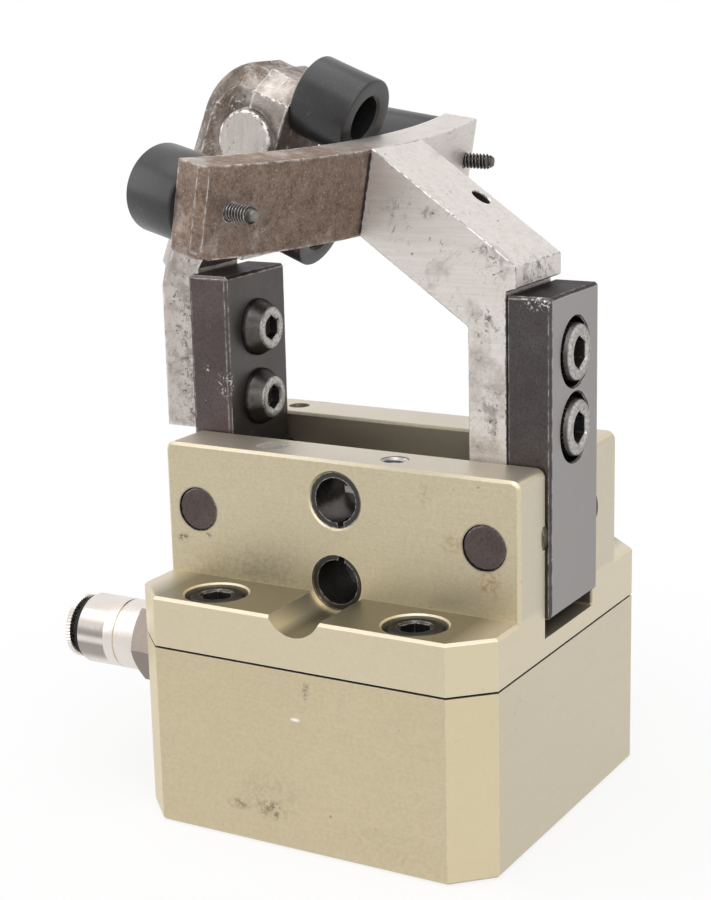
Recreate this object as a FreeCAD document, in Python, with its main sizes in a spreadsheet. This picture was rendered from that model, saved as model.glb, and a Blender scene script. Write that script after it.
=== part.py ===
import FreeCAD, Part
import math
import os
from types import SimpleNamespace

import Sketcher

# Pneumatic angular gripper: a square cylinder block, a slotted guide body and two jaws that a
# piston swings apart, with a fabricated steel finger on each jaw.
# Frame: origin at the centre of the base, +X along the jaws to the right one, +Z up. Millimetres.

DIMENSIONS = [
    # Square housing
    ("base_side", 70.0),
    ("corner_chamfer", 6.4),
    ("block_height", 32.6),
    ("gasket_thick", 0.4),
    ("gasket_inset", 0.35),
    ("flange_thick", 9.0),
    ("wall_span", 40.6),
    ("wall_height", 24.0),
    ("slot_width", 20.0),
    ("slot_floor_thick", 3.2),
    ("wall_end_round", 1.6),
    ("edge_break", 0.5),
    ("rim_break", 0.3),
    ("over_cut", 1.0),
    # Cylinder and its ports
    ("bore_dia", 48.0),
    ("bore_floor", 6.0),
    ("port_y", 16.0),
    ("feed_port_z", 26.4),
    ("return_port_z", 10.0),
    ("port_dia", 8.8),
    ("port_depth", 9.0),
    ("duct_dia", 3.6),
    ("duct_lift", 0.3),
    ("spigot_depth", 4.6),
    ("ring_section", 2.0),
    ("ring_land", 0.5),
    # Screws of the housing
    ("flange_screw_in_x", 15.3),
    ("flange_screw_in_y", 6.65),
    ("flange_screw_grip", 12.0),
    ("cap_head_dia", 10.0),
    ("cap_head_height", 6.0),
    ("cap_bore_dia", 11.2),
    ("cap_sunk", 0.3),
    ("cap_key", 5.0),
    ("thread_dia", 6.0),
    ("thread_core", 5.0),
    ("clearance_hole_dia", 6.6),
    ("mount_inset", 8.0),
    ("mount_depth", 12.0),
    ("drill_point", 118.0),
    ("thread_end_gap", 0.3),
    ("socket_share", 0.55),
    # Holes of the walls
    ("pivot_inset", 6.5),
    ("pivot_rise", 12.1),
    ("pivot_pin_dia", 8.0),
    ("upper_bore_rise", 16.9),
    ("lower_bore_rise", 2.2),
    ("sleeve_dia", 10.0),
    ("sleeve_wall", 1.0),
    ("sleeve_slit", 1.3),
    ("slit_turn", 78.0),
    ("sleeve_sunk", 0.4),
    ("relief_dia", 11.0),
    ("dowel_x", 15.5),
    ("dowel_dia", 6.0),
    ("dowel_depth", 10.0),
    ("wall_thread_x", 9.2),
    ("wall_thread_depth", 11.0),
    ("lock_screw_dia", 4.0),
    ("lock_screw_length", 5.5),
    ("thrust_washer_dia", 13.6),
    ("thrust_washer_thick", 1.5),
    # Clearances
    ("fit_gap", 0.02),
    ("run_gap", 0.04),
    ("slide_gap", 0.12),
    ("soft_gap", 0.3),
    # Piston and drive
    ("piston_thick", 14.0),
    ("piston_lift", 1.0),
    ("piston_ring_depth", 3.0),
    ("guide_ring_depth", 2.0),
    ("guide_ring_height", 4.0),
    ("rod_dia", 10.0),
    ("rod_stud_dia", 8.0),
    ("bush_wall", 2.0),
    ("rod_bush_length", 4.4),
    ("nut_key", 13.0),
    ("nut_height", 4.0),
    ("nut_sunk", 1.0),
    ("drive_pin_dia", 6.0),
    ("drive_pin_x", 6.0),
    ("drive_base_thick", 4.5),
    ("drive_base_lift", 4.3),
    ("drive_length", 21.0),
    ("drive_height", 17.0),
    # Jaws
    ("jaw_swing", 15.0),
    ("jaw_thick", 8.25),
    ("jaw_proud", 0.85),
    ("jaw_above_pivot", 40.4),
    ("jaw_below_pivot", 14.6),
    ("jaw_bush_wall", 1.0),
    ("lever_width", 11.6),
    ("lever_depth", 10.8),
    ("lever_tip", 4.4),
    ("jaw_screw_rise", 16.9),
    ("jaw_screw_pitch", 13.0),
    ("jaw_bore_dia", 12.0),
    ("jaw_bore_depth", 5.0),
    # Right finger
    ("finger_front", 9.8),
    ("finger_back", 8.4),
    ("leg_thick", 7.0),
    ("leg_rise", 8.9),
    ("arm_root_in", 3.1),
    ("arm_depth", 13.8),
    ("arm_overhang", 1.9),
    ("arm_jaw_gap", 0.6),
    ("arm_hole_dia", 3.6),
    ("arm_hole_depth", 6.0),
    ("arm_hole_run", 11.5),
    # Curved bar and its bumpers
    ("bar_offset", 1.6),
    ("bar_rise", 56.4),
    ("bar_shift", 1.9),
    ("bar_tilt", 10.4),
    ("bar_roll", 0.9),
    ("bar_radius", 169.0),
    ("bar_thick", 6.1),
    ("bar_height", 15.0),
    ("bar_front_angle", 16.4),
    ("bar_rear_angle", 14.6),
    ("bar_corner", 1.4),
    ("bar_end_bevel", 1.3),
    ("stud_front_angle", 14.2),
    ("stud_rear_angle", 12.7),
    ("stud_dia", 3.0),
    ("stud_out", 5.7),
    ("stud_in", 6.0),
    ("bumper_dia", 14.9),
    ("bar_bumper_length", 10.6),
    ("bumper_edge", 0.6),
    # Left finger
    ("left_leg_thick", 8.15),
    ("left_leg_rise", 11.3),
    ("left_width", 13.0),
    ("head_offset", 14.2),
    ("head_rise", 72.0),
    ("head_tilt", 21.65),
    ("head_thick", 18.6),
    ("head_round", 13.0),
    ("head_drop", 9.8),
    ("head_top", 1.5),
    ("head_tail", 40.2),
    ("head_bevel", 3.6),
    ("plate_thick", 7.5),
    ("plate_width", 15.0),
    ("plate_top", 2.2),
    ("plate_tail", 31.0),
    ("plate_bevel", 4.0),
    ("cross_pin_dia", 10.8),
    ("cross_pin_depth", 10.3),
    ("cross_pin_in", 5.85),
    ("cross_pin_proud", 1.4),
    ("bumper_pitch", 21.2),
    ("upper_bumper_length", 11.3),
    ("lower_bumper_length", 9.8),
    ("bumper_hole_dia", 8.0),
    ("bumper_web", 4.5),
    ("bumper_screw_dia", 3.0),
    ("bumper_screw_head_dia", 5.5),
    ("bumper_screw_head_height", 3.0),
    ("bumper_screw_key", 2.5),
    ("bumper_screw_grip", 5.5),
    ("button_head_dia", 10.5),
    ("button_top_dia", 7.6),
    ("button_head_height", 3.3),
    ("button_key", 4.0),
    # Push-in air fitting
    ("washer_thick", 1.0),
    ("hex_key", 14.0),
    ("hex_length", 7.0),
    ("barrel_dia", 13.2),
    ("barrel_length", 13.3),
    ("socket_dia", 10.4),
    ("socket_depth", 9.5),
    ("tube_dia", 6.0),
    ("tube_stop", 3.0),
    ("air_way_dia", 4.4),
    ("end_ring_thick", 0.7),
    ("collar_travel", 0.8),
    ("collar_dia", 12.0),
    ("collar_thick", 1.6),
    ("collar_neck_dia", 8.4),
    ("collar_neck_length", 7.0),
]

DOC = FreeCAD.newDocument("AngularGripper")
SHEET = DOC.addObject("Spreadsheet::Sheet", "Dims")
UP = FreeCAD.Vector(0, 0, 1)
ORIGIN = FreeCAD.Vector(0, 0, 0)
X_AXIS = FreeCAD.Vector(1, 0, 0)
Y_AXIS = FreeCAD.Vector(0, 1, 0)
LIE_ALONG_Y = FreeCAD.Rotation(X_AXIS, 90)
SUBPARTS = []


class Size:
    """A number from the sheet, or worked out from others, with the formula that keeps it current."""

    def __init__(self, number, formula):
        self.number = float(number)
        self.formula = formula

    def __add__(self, other):
        other = size(other)
        return Size(self.number + other.number, f"({self.formula} + {other.formula})")

    def __sub__(self, other):
        other = size(other)
        return Size(self.number - other.number, f"({self.formula} - {other.formula})")

    def __mul__(self, other):
        other = size(other)
        return Size(self.number * other.number, f"({self.formula} * {other.formula})")

    def __truediv__(self, other):
        other = size(other)
        return Size(self.number / other.number, f"({self.formula} / {other.formula})")

    def __radd__(self, other):
        return size(other) + self

    def __rsub__(self, other):
        return size(other) - self

    def __rmul__(self, other):
        return size(other) * self

    def __neg__(self):
        return Size(-self.number, f"(0 - {self.formula})")


def size(value):
    """A Size from a Size or a plain number."""
    if isinstance(value, Size):
        return value
    return Size(value, f"({float(value)!r})")


def cosine(angle):
    return Size(math.cos(math.radians(angle.number)), f"cos({angle.formula})")


def sine(angle):
    return Size(math.sin(math.radians(angle.number)), f"sin({angle.formula})")


def tangent(angle):
    return Size(math.tan(math.radians(angle.number)), f"tan({angle.formula})")


def root(square):
    return Size(math.sqrt(square.number), f"sqrt({square.formula})")


def slope(rise, run):
    """The angle in degrees whose tangent is rise over run."""
    ratio = rise / run
    return Size(math.degrees(math.atan(ratio.number)), f"atan({ratio.formula}) / 1deg")


def fill_sheet():
    """Writes the driving dimensions to the sheet and hands them back as Sizes."""
    sizes = {}
    for row, (alias, number) in enumerate(DIMENSIONS, start=1):
        SHEET.set(f"A{row}", alias)
        SHEET.set(f"B{row}", str(number))
        SHEET.setAlias(f"B{row}", alias)
        sizes[alias] = Size(number, f"Dims.{alias}")
    DOC.recompute()
    return SimpleNamespace(**sizes)


d = fill_sheet()

# Heights and places that several pieces share
half_side = d.base_side / 2
flange_z = d.block_height + d.gasket_thick
flange_top = flange_z + d.flange_thick
wall_top = flange_top + d.wall_height
slot_floor = flange_z + d.slot_floor_thick
half_slot = d.slot_width / 2
half_wall = d.wall_span / 2
wall_mid = (half_slot + half_wall) / 2
bore_r = d.bore_dia / 2
flange_screw_x = half_side - d.flange_screw_in_x
flange_screw_y = half_side - d.flange_screw_in_y
mount_x = half_side - d.mount_inset
spigot_z = flange_z - d.spigot_depth
pivot_x = half_side - d.pivot_inset
pivot_z = flange_top + d.pivot_rise
upper_bore_z = flange_top + d.upper_bore_rise
lower_bore_z = flange_top + d.lower_bore_rise
jaw_outer = half_side + d.jaw_proud
jaw_inner = jaw_outer - d.jaw_thick
jaw_top = pivot_z + d.jaw_above_pivot
jaw_half_width = half_slot - d.slide_gap
jaw_screw_z = [pivot_z + d.jaw_screw_rise, pivot_z + d.jaw_screw_rise + d.jaw_screw_pitch]
rod_r = d.rod_dia / 2
rod_stud_r = d.rod_stud_dia / 2
thread_r = d.thread_dia / 2

# The drive pins rest half a swing below the pivots, so their travel is even about the level
half_swing = d.jaw_swing / 2
lever_reach = pivot_x - d.drive_pin_x
drive_pin_z = pivot_z - lever_reach * tangent(half_swing)
drive_base_z = slot_floor + d.drive_base_lift
piston_z = d.bore_floor + d.piston_lift
piston_top = piston_z + d.piston_thick


def bind(obj, name, value):
    """Ties a property of an object to a formula."""
    obj.setExpression(name, size(value).formula)


def place(obj, x=0, y=0, z=0, rotation=None):
    """Puts an object at a point worked out from the sheet, turned if asked."""
    if rotation is not None:
        obj.Placement = FreeCAD.Placement(ORIGIN, rotation)
    for letter, value in zip("xyz", (x, y, z)):
        bind(obj, f"Placement.Base.{letter}", value)
    return obj


def turn_x(angle):
    return FreeCAD.Rotation(X_AXIS, size(angle).number)


def turn_y(angle):
    return FreeCAD.Rotation(Y_AXIS, size(angle).number)


def turn_z(angle):
    return FreeCAD.Rotation(UP, size(angle).number)


def keep(obj, label):
    """Marks an object as a finished sub-part under its own name."""
    obj.Label = label
    SUBPARTS.append(obj)
    return obj


# Sketches and features of the milled and turned pieces


def new_body(label, finished=True):
    body = DOC.addObject("PartDesign::Body", label)
    return keep(body, label) if finished else body


def sketch(body, role, offset=0):
    """An empty sketch on one of the body's own planes, moved along that plane's normal."""
    plane = next(f for f in body.Origin.OriginFeatures if f.Role == role)
    drawing = body.newObject("Sketcher::SketchObject", f"{body.Label}_sketch")
    drawing.AttachmentSupport = [(plane, "")]
    drawing.MapMode = "FlatFace"
    bind(drawing, "AttachmentOffset.Base.z", offset)
    return drawing


def dimension(drawing, kind, where, value):
    index = drawing.addConstraint(Sketcher.Constraint(kind, *where, size(value).number))
    bind(drawing, f"Constraints[{index}]", value)


def outline(drawing, points, arcs=None):
    """A closed outline with every corner dimensioned; arcs gives radius and bulge side by edge."""
    arcs = arcs or {}
    points = [(size(x), size(y)) for x, y in points]
    first = drawing.GeometryCount
    ends = []
    for index, (start, end) in enumerate(zip(points, points[1:] + points[:1])):
        a = FreeCAD.Vector(start[0].number, start[1].number, 0)
        b = FreeCAD.Vector(end[0].number, end[1].number, 0)
        if index in arcs:
            radius, side = arcs[index]
            chord = b - a
            across = FreeCAD.Vector(chord.y, -chord.x, 0).normalize()
            bulge = radius.number - math.sqrt(radius.number**2 - chord.Length**2 / 4)
            middle = (a + b) / 2 + across * (bulge * side)
            # An arc runs anticlockwise, so one that bulges left of its way is drawn end to start
            arc = Part.Arc(a, middle, b) if side > 0 else Part.Arc(b, middle, a)
            drawing.addGeometry(arc, False)
            ends.append((1, 2) if side > 0 else (2, 1))
        else:
            drawing.addGeometry(Part.LineSegment(a, b), False)
            ends.append((1, 2))
    count = len(points)
    for index in range(count):
        after = (index + 1) % count
        link = (first + index, ends[index][1], first + after, ends[after][0])
        drawing.addConstraint(Sketcher.Constraint("Coincident", *link))
    for index, (x, y) in enumerate(points):
        corner = (-1, 1, first + index, ends[index][0])
        dimension(drawing, "DistanceX", corner, x)
        dimension(drawing, "DistanceY", corner, y)
    for index, (radius, side) in arcs.items():
        dimension(drawing, "Radius", (first + index,), radius)


def circle(drawing, x, y, radius):
    x, y, radius = size(x), size(y), size(radius)
    centre = FreeCAD.Vector(x.number, y.number, 0)
    index = drawing.addGeometry(Part.Circle(centre, UP, radius.number), False)
    dimension(drawing, "DistanceX", (-1, 1, index, 3), x)
    dimension(drawing, "DistanceY", (-1, 1, index, 3), y)
    dimension(drawing, "Radius", (index,), radius)


def pad(body, drawing, length, both_ways=False, reverse=False):
    feature = body.newObject("PartDesign::Pad", f"{body.Label}_pad")
    feature.Profile = drawing
    feature.SideType = "Symmetric" if both_ways else "One side"
    feature.Reversed = reverse
    bind(feature, "Length", length)
    return feature


def pocket(body, drawing, depth, both_ways=False, reverse=False):
    """Cuts a sketch out of the body, and makes sure that the cut took something away."""
    DOC.recompute()
    before = body.Shape.Volume
    feature = body.newObject("PartDesign::Pocket", f"{body.Label}_pocket")
    feature.Profile = drawing
    feature.SideType = "Symmetric" if both_ways else "One side"
    feature.Reversed = reverse
    bind(feature, "Length", depth)
    DOC.recompute()
    if not body.Shape.Volume < before:
        raise ValueError(f"a pocket of {body.Label} cuts nothing")
    return feature


def drill(body, drawing, diameter, depth, reverse=False):
    """Drills the circles of a sketch as blind holes with the cone that a drill leaves."""
    feature = body.newObject("PartDesign::Hole", f"{body.Label}_hole")
    feature.Profile = drawing
    feature.DepthType = "Dimension"
    feature.DrillPoint = "Angled"
    feature.Reversed = reverse
    bind(feature, "DrillPointAngle", d.drill_point)
    bind(feature, "Diameter", diameter)
    bind(feature, "Depth", depth)
    return feature


def revolve(body, drawing, cut=False):
    """Turns a sketch about its own upright axis, adding to the body or cutting from it."""
    kind = "PartDesign::Groove" if cut else "PartDesign::Revolution"
    feature = body.newObject(kind, f"{body.Label}_turn")
    feature.Profile = drawing
    feature.ReferenceAxis = (drawing, ["V_Axis"])
    feature.Angle = 360
    return feature


def break_edges(body, wanted, amount, kind="Chamfer"):
    """Chamfers or rounds the edges of the body that a test picks."""
    DOC.recompute()
    base = body.Tip
    names = [f"Edge{i}" for i, edge in enumerate(base.Shape.Edges, start=1) if wanted(edge)]
    if not names:
        raise ValueError(f"no edge of {body.Label} to break")
    feature = body.newObject(f"PartDesign::{kind}", f"{body.Label}_edges")
    feature.Base = (base, names)
    bind(feature, "Size" if kind == "Chamfer" else "Radius", amount)
    DOC.recompute()
    return feature


def close(a, b):
    return abs(a - size(b).number) < 1e-4


def along(edge, axis):
    """Whether a straight edge runs along a frame axis (0, 1 or 2)."""
    if edge.Curve.TypeId != "Part::GeomLine":
        return False
    return abs(edge.tangentAt(edge.FirstParameter)[axis]) > 0.9999


def rim(edge, axis, level, diameter):
    """Whether an edge is the rim of a hole of that diameter, at a level along a frame axis."""
    if edge.Curve.TypeId != "Part::GeomCircle":
        return False
    return close(edge.Curve.Radius * 2, diameter) and close(edge.Curve.Center[axis], level)


def centre_of(edge):
    return edge.BoundBox.Center


def turned(label, profile):
    """A turned piece: radius and height pairs spun about its own Z axis."""
    body = new_body(label)
    drawing = sketch(body, "XZ_Plane")
    outline(drawing, profile)
    revolve(body, drawing)
    return body


def octagon(side, chamfer):
    """The square plan of the housing with its corners cut off."""
    far = side / 2
    near = far - chamfer
    return [
        (far, -near), (far, near), (near, far), (-near, far),
        (-far, near), (-far, -near), (-near, -far), (near, -far),
    ]


def corners(x, y):
    return [(x, y), (-x, y), (-x, -y), (x, -y)]


# Solids of the bought-in pieces


def cylinder(radius, height):
    solid = DOC.addObject("Part::Cylinder", "cylinder")
    bind(solid, "Radius", radius)
    bind(solid, "Height", height)
    return solid


def box(x, y, z):
    solid = DOC.addObject("Part::Box", "box")
    for name, value in zip(("Length", "Width", "Height"), (x, y, z)):
        bind(solid, name, value)
    return solid


def hex_prism(across_flats, height):
    solid = DOC.addObject("Part::Prism", "hexagon")
    solid.Polygon = 6
    bind(solid, "Circumradius", across_flats / math.sqrt(3))
    bind(solid, "Height", height)
    return solid


def cut(base, tool):
    result = DOC.addObject("Part::Cut", "cut")
    result.Base = base
    result.Tool = tool
    return result


def common(base, tool):
    result = DOC.addObject("Part::Common", "common")
    result.Base = base
    result.Tool = tool
    return result


def fuse(base, tool):
    result = DOC.addObject("Part::Fuse", "fuse")
    result.Base = base
    result.Tool = tool
    return result


def ring(outer, inner, height):
    hole = cylinder(inner, height + d.over_cut * 2)
    return cut(cylinder(outer, height), place(hole, z=-d.over_cut))


def group(label, solids):
    """Several like pieces under one name, each a solid of its own."""
    compound = DOC.addObject("Part::Compound", label)
    compound.Links = solids
    return keep(compound, label)


def screw(head, head_height, shank_r, shank_length, key):
    """A screw with its head standing on Z = 0, a hexagon socket in its top and the shank below."""
    shank = place(cylinder(shank_r, shank_length), z=-shank_length)
    socket_depth = head_height * d.socket_share
    socket = place(hex_prism(key, head_height), z=head_height - socket_depth)
    return cut(fuse(head, shank), socket)


def cap_screw(grip):
    head = cylinder(d.cap_head_dia / 2, d.cap_head_height)
    return screw(head, d.cap_head_height, thread_r, grip, d.cap_key)


def button_screw(grip):
    head = DOC.addObject("Part::Cone", "button_head")
    bind(head, "Radius1", d.button_head_dia / 2)
    bind(head, "Radius2", d.button_top_dia / 2)
    bind(head, "Height", d.button_head_height)
    return screw(head, d.button_head_height, thread_r, grip, d.button_key)


# Housing


def make_cylinder_block():
    body = new_body("cylinder_block")
    plan = sketch(body, "XY_Plane")
    outline(plan, octagon(d.base_side, d.corner_chamfer))
    pad(body, plan, d.block_height)
    break_edges(body, lambda e: close(centre_of(e).z, 0), d.edge_break)
    bore = sketch(body, "XY_Plane", d.block_height)
    circle(bore, 0, 0, bore_r)
    pocket(body, bore, d.block_height - d.bore_floor)
    threads = sketch(body, "XY_Plane", d.block_height)
    for x, y in corners(flange_screw_x, flange_screw_y):
        circle(threads, x, y, thread_r + d.fit_gap)
    pocket(body, threads, d.flange_screw_grip + d.thread_end_gap)
    mount = sketch(body, "XY_Plane")
    for x, y in corners(mount_x, mount_x):
        circle(mount, x, y, d.thread_core / 2)
    drill(body, mount, d.thread_core, d.mount_depth, reverse=True)
    ports = sketch(body, "YZ_Plane", -half_side)
    circle(ports, -d.port_y, d.feed_port_z, d.port_dia / 2)
    circle(ports, d.port_y, d.return_port_z, d.port_dia / 2)
    pocket(body, ports, d.port_depth, reverse=True)
    ducts = sketch(body, "YZ_Plane", -half_side)
    circle(ducts, -d.port_y, d.feed_port_z, d.duct_dia / 2)
    circle(ducts, d.port_y, d.bore_floor + d.duct_dia / 2 + d.duct_lift, d.duct_dia / 2)
    chord = root(bore_r * bore_r - d.port_y * d.port_y)
    pocket(body, ducts, half_side - chord + d.duct_dia, reverse=True)


def make_body_gasket():
    body = new_body("body_gasket")
    plan = sketch(body, "XY_Plane", d.block_height)
    outline(plan, octagon(d.base_side - d.gasket_inset * 2, d.corner_chamfer))
    pad(body, plan, d.gasket_thick)
    holes = sketch(body, "XY_Plane", flange_z)
    circle(holes, 0, 0, bore_r + d.gasket_inset)
    for x, y in corners(flange_screw_x, flange_screw_y):
        circle(holes, x, y, d.clearance_hole_dia / 2)
    pocket(body, holes, d.gasket_thick)


def make_guide_body():
    body = new_body("guide_blank", finished=False)
    plan = sketch(body, "XY_Plane", flange_z)
    outline(plan, octagon(d.base_side, d.corner_chamfer))
    pad(body, plan, d.flange_thick)
    break_edges(body, lambda e: close(centre_of(e).z, flange_top), d.edge_break)
    walls = sketch(body, "XY_Plane", flange_top - d.edge_break)
    outline(walls, corners(half_side, half_wall))
    pad(body, walls, d.wall_height + d.edge_break)
    slot = sketch(body, "YZ_Plane")
    slot_top = wall_top + d.over_cut
    outline(slot, [(half_slot, slot_floor), (half_slot, slot_top),
                   (-half_slot, slot_top), (-half_slot, slot_floor)])
    pocket(body, slot, d.base_side + d.over_cut, both_ways=True)
    break_edges(body, lambda e: along(e, 1) and close(centre_of(e).z, wall_top),
                d.wall_end_round, "Fillet")
    break_edges(body, lambda e: along(e, 0) and close(centre_of(e).z, wall_top), d.edge_break)
    spigot = sketch(body, "XY_Plane", flange_z)
    circle(spigot, 0, 0, bore_r - d.run_gap)
    pad(body, spigot, d.spigot_depth, reverse=True)
    seat = sketch(body, "XY_Plane", slot_floor)
    circle(seat, 0, 0, rod_r + d.bush_wall + d.fit_gap)
    pocket(body, seat, d.rod_bush_length)
    rod_way = sketch(body, "XY_Plane", slot_floor)
    circle(rod_way, 0, 0, rod_r + d.soft_gap)
    pocket(body, rod_way, slot_floor - spigot_z + d.over_cut)
    grooves = sketch(body, "XZ_Plane")
    low, high = seal_band()
    seal_out = rod_r + d.ring_section + d.run_gap * 2
    outline(grooves, [(rod_r, low), (seal_out, low), (seal_out, high), (rod_r, high)])
    ring_in = bore_r - d.ring_section - d.run_gap * 2
    ring_out = bore_r + d.over_cut
    outline(grooves, [(ring_in, low), (ring_out, low), (ring_out, high), (ring_in, high)])
    revolve(body, grooves, cut=True)
    make_guide_holes(body)
    split_guide_body(body)


def split_guide_body(blank):
    """The one milled body as three plain pieces that touch, so the slot and the ledges stay open."""
    length = d.base_side + d.over_cut * 2
    width = half_wall + d.over_cut
    rise = d.wall_height + d.over_cut

    def above_flange(y, across):
        return place(box(length, across, rise), -length / 2, y, flange_top)

    keep(cut(blank, above_flange(-width, width * 2)), "guide_flange")
    keep(common(blank, above_flange(-width, width)), "front_wall")
    keep(common(blank, above_flange(0, width)), "rear_wall")


def seal_band():
    """The lowest and highest level of the seal grooves in the spigot."""
    low = spigot_z + d.ring_land
    return low, low + d.ring_section + d.run_gap * 2


def make_guide_holes(body):
    """The holes of the flange and the walls."""
    screws = sketch(body, "XY_Plane", flange_top)
    seats = sketch(body, "XY_Plane", flange_top)
    for x, y in corners(flange_screw_x, flange_screw_y):
        circle(screws, x, y, d.clearance_hole_dia / 2)
        circle(seats, x, y, d.cap_bore_dia / 2)
    pocket(body, screws, d.flange_thick + d.over_cut)
    pocket(body, seats, d.cap_head_height + d.cap_sunk)
    pins = sketch(body, "XZ_Plane")
    for x in (pivot_x, -pivot_x):
        circle(pins, x, pivot_z, d.pivot_pin_dia / 2)
    pocket(body, pins, d.wall_span + d.fit_gap * 2, both_ways=True)
    washers = sketch(body, "XZ_Plane")
    for x in (pivot_x, -pivot_x):
        circle(washers, x, pivot_z, d.thrust_washer_dia / 2 + d.fit_gap)
    pocket(body, washers, d.slot_width + d.thrust_washer_thick * 2, both_ways=True)
    bores = sketch(body, "XZ_Plane", half_wall)
    for z in (upper_bore_z, lower_bore_z):
        circle(bores, 0, z, d.sleeve_dia / 2)
    pocket(body, bores, half_wall - half_slot + d.over_cut)
    # A half-round relief leads the lower cross bore out over the flange
    relief = sketch(body, "XZ_Plane", half_wall)
    circle(relief, 0, lower_bore_z, d.relief_dia / 2)
    pocket(body, relief, half_side - half_wall + d.over_cut, reverse=True)
    dowel = sketch(body, "XY_Plane", wall_top)
    circle(dowel, -d.dowel_x, -wall_mid, d.dowel_dia / 2)
    pocket(body, dowel, d.dowel_depth)
    thread = sketch(body, "XY_Plane", wall_top)
    circle(thread, d.wall_thread_x, -wall_mid, d.thread_core / 2)
    pocket(body, thread, d.wall_thread_depth)
    locks = sketch(body, "XY_Plane", wall_top)
    for x in (pivot_x, -pivot_x):
        circle(locks, x, wall_mid, d.lock_screw_dia / 2 + d.fit_gap)
    pocket(body, locks, wall_top - pivot_z)
    break_edges(body, lambda e: rim(e, 2, flange_top, d.cap_bore_dia), d.rim_break)
    break_edges(body, lambda e: centre_of(e).z > pivot_z.number and rim(e, 1, -half_wall, d.sleeve_dia),
                d.rim_break)


def make_housing_fasteners():
    screws = []
    for x, y in corners(flange_screw_x, flange_screw_y):
        seat_z = flange_top - d.cap_sunk - d.cap_head_height
        grip = seat_z - d.block_height + d.flange_screw_grip
        screws.append(place(cap_screw(grip), x, y, seat_z))
    group("body_screws", screws)
    for name, x in (("pivot_pin_left", -pivot_x), ("pivot_pin_right", pivot_x)):
        pin = cylinder(d.pivot_pin_dia / 2 - d.fit_gap, d.wall_span)
        keep(place(pin, x, half_wall, pivot_z, LIE_ALONG_Y), name)
    locks = []
    for x in (-pivot_x, pivot_x):
        stem = cylinder(d.lock_screw_dia / 2, d.lock_screw_length)
        key = place(hex_prism(d.lock_screw_dia / 2, d.lock_screw_length),
                    z=d.lock_screw_length - d.lock_screw_dia / 2)
        locks.append(place(cut(stem, key), x, wall_mid, pivot_z + d.pivot_pin_dia / 2))
    group("pin_lock_screws", locks)
    washers = []
    for x in (-pivot_x, pivot_x):
        for y in (-half_slot, half_slot + d.thrust_washer_thick):
            washer = ring(d.thrust_washer_dia / 2, d.pivot_pin_dia / 2, d.thrust_washer_thick)
            washers.append(place(washer, x, y, pivot_z, LIE_ALONG_Y))
    group("thrust_washers", washers)


def make_sleeves():
    """Slotted spring sleeves in the cross bores of the front wall, with the slit at the bottom or the top."""
    length = half_wall - half_slot - d.sleeve_sunk
    radius = d.sleeve_dia / 2 - d.fit_gap
    for name, z, slit_turn in (("upper_sleeves", upper_bore_z, -d.slit_turn),
                               ("lower_sleeves", lower_bore_z, d.slit_turn)):
        tube = ring(radius, radius - d.sleeve_wall, length)
        slit = box(d.sleeve_dia, d.sleeve_slit, length + d.over_cut * 2)
        place(slit, y=-d.sleeve_slit / 2, z=-d.over_cut)
        sleeve = place(cut(tube, slit), 0, -half_slot, z, LIE_ALONG_Y * turn_z(slit_turn))
        keep(sleeve, name)


def make_rod_guides():
    bush = ring(rod_r + d.bush_wall, rod_r + d.run_gap, d.rod_bush_length)
    keep(place(bush, z=slot_floor - d.rod_bush_length), "rod_bush")
    low, high = seal_band()
    seal = ring(rod_r + d.ring_section + d.run_gap, rod_r + d.run_gap, d.ring_section)
    keep(place(seal, z=low + d.run_gap), "rod_seal")
    static = ring(bore_r - d.fit_gap, bore_r - d.ring_section - d.run_gap, d.ring_section)
    keep(place(static, z=low + d.run_gap), "spigot_ring")


# Push-in air fitting, turned about Z and laid along -X from the port


def lay_fitting(obj):
    return place(obj, -half_side, -d.port_y, d.feed_port_z, turn_y(-90))


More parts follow.
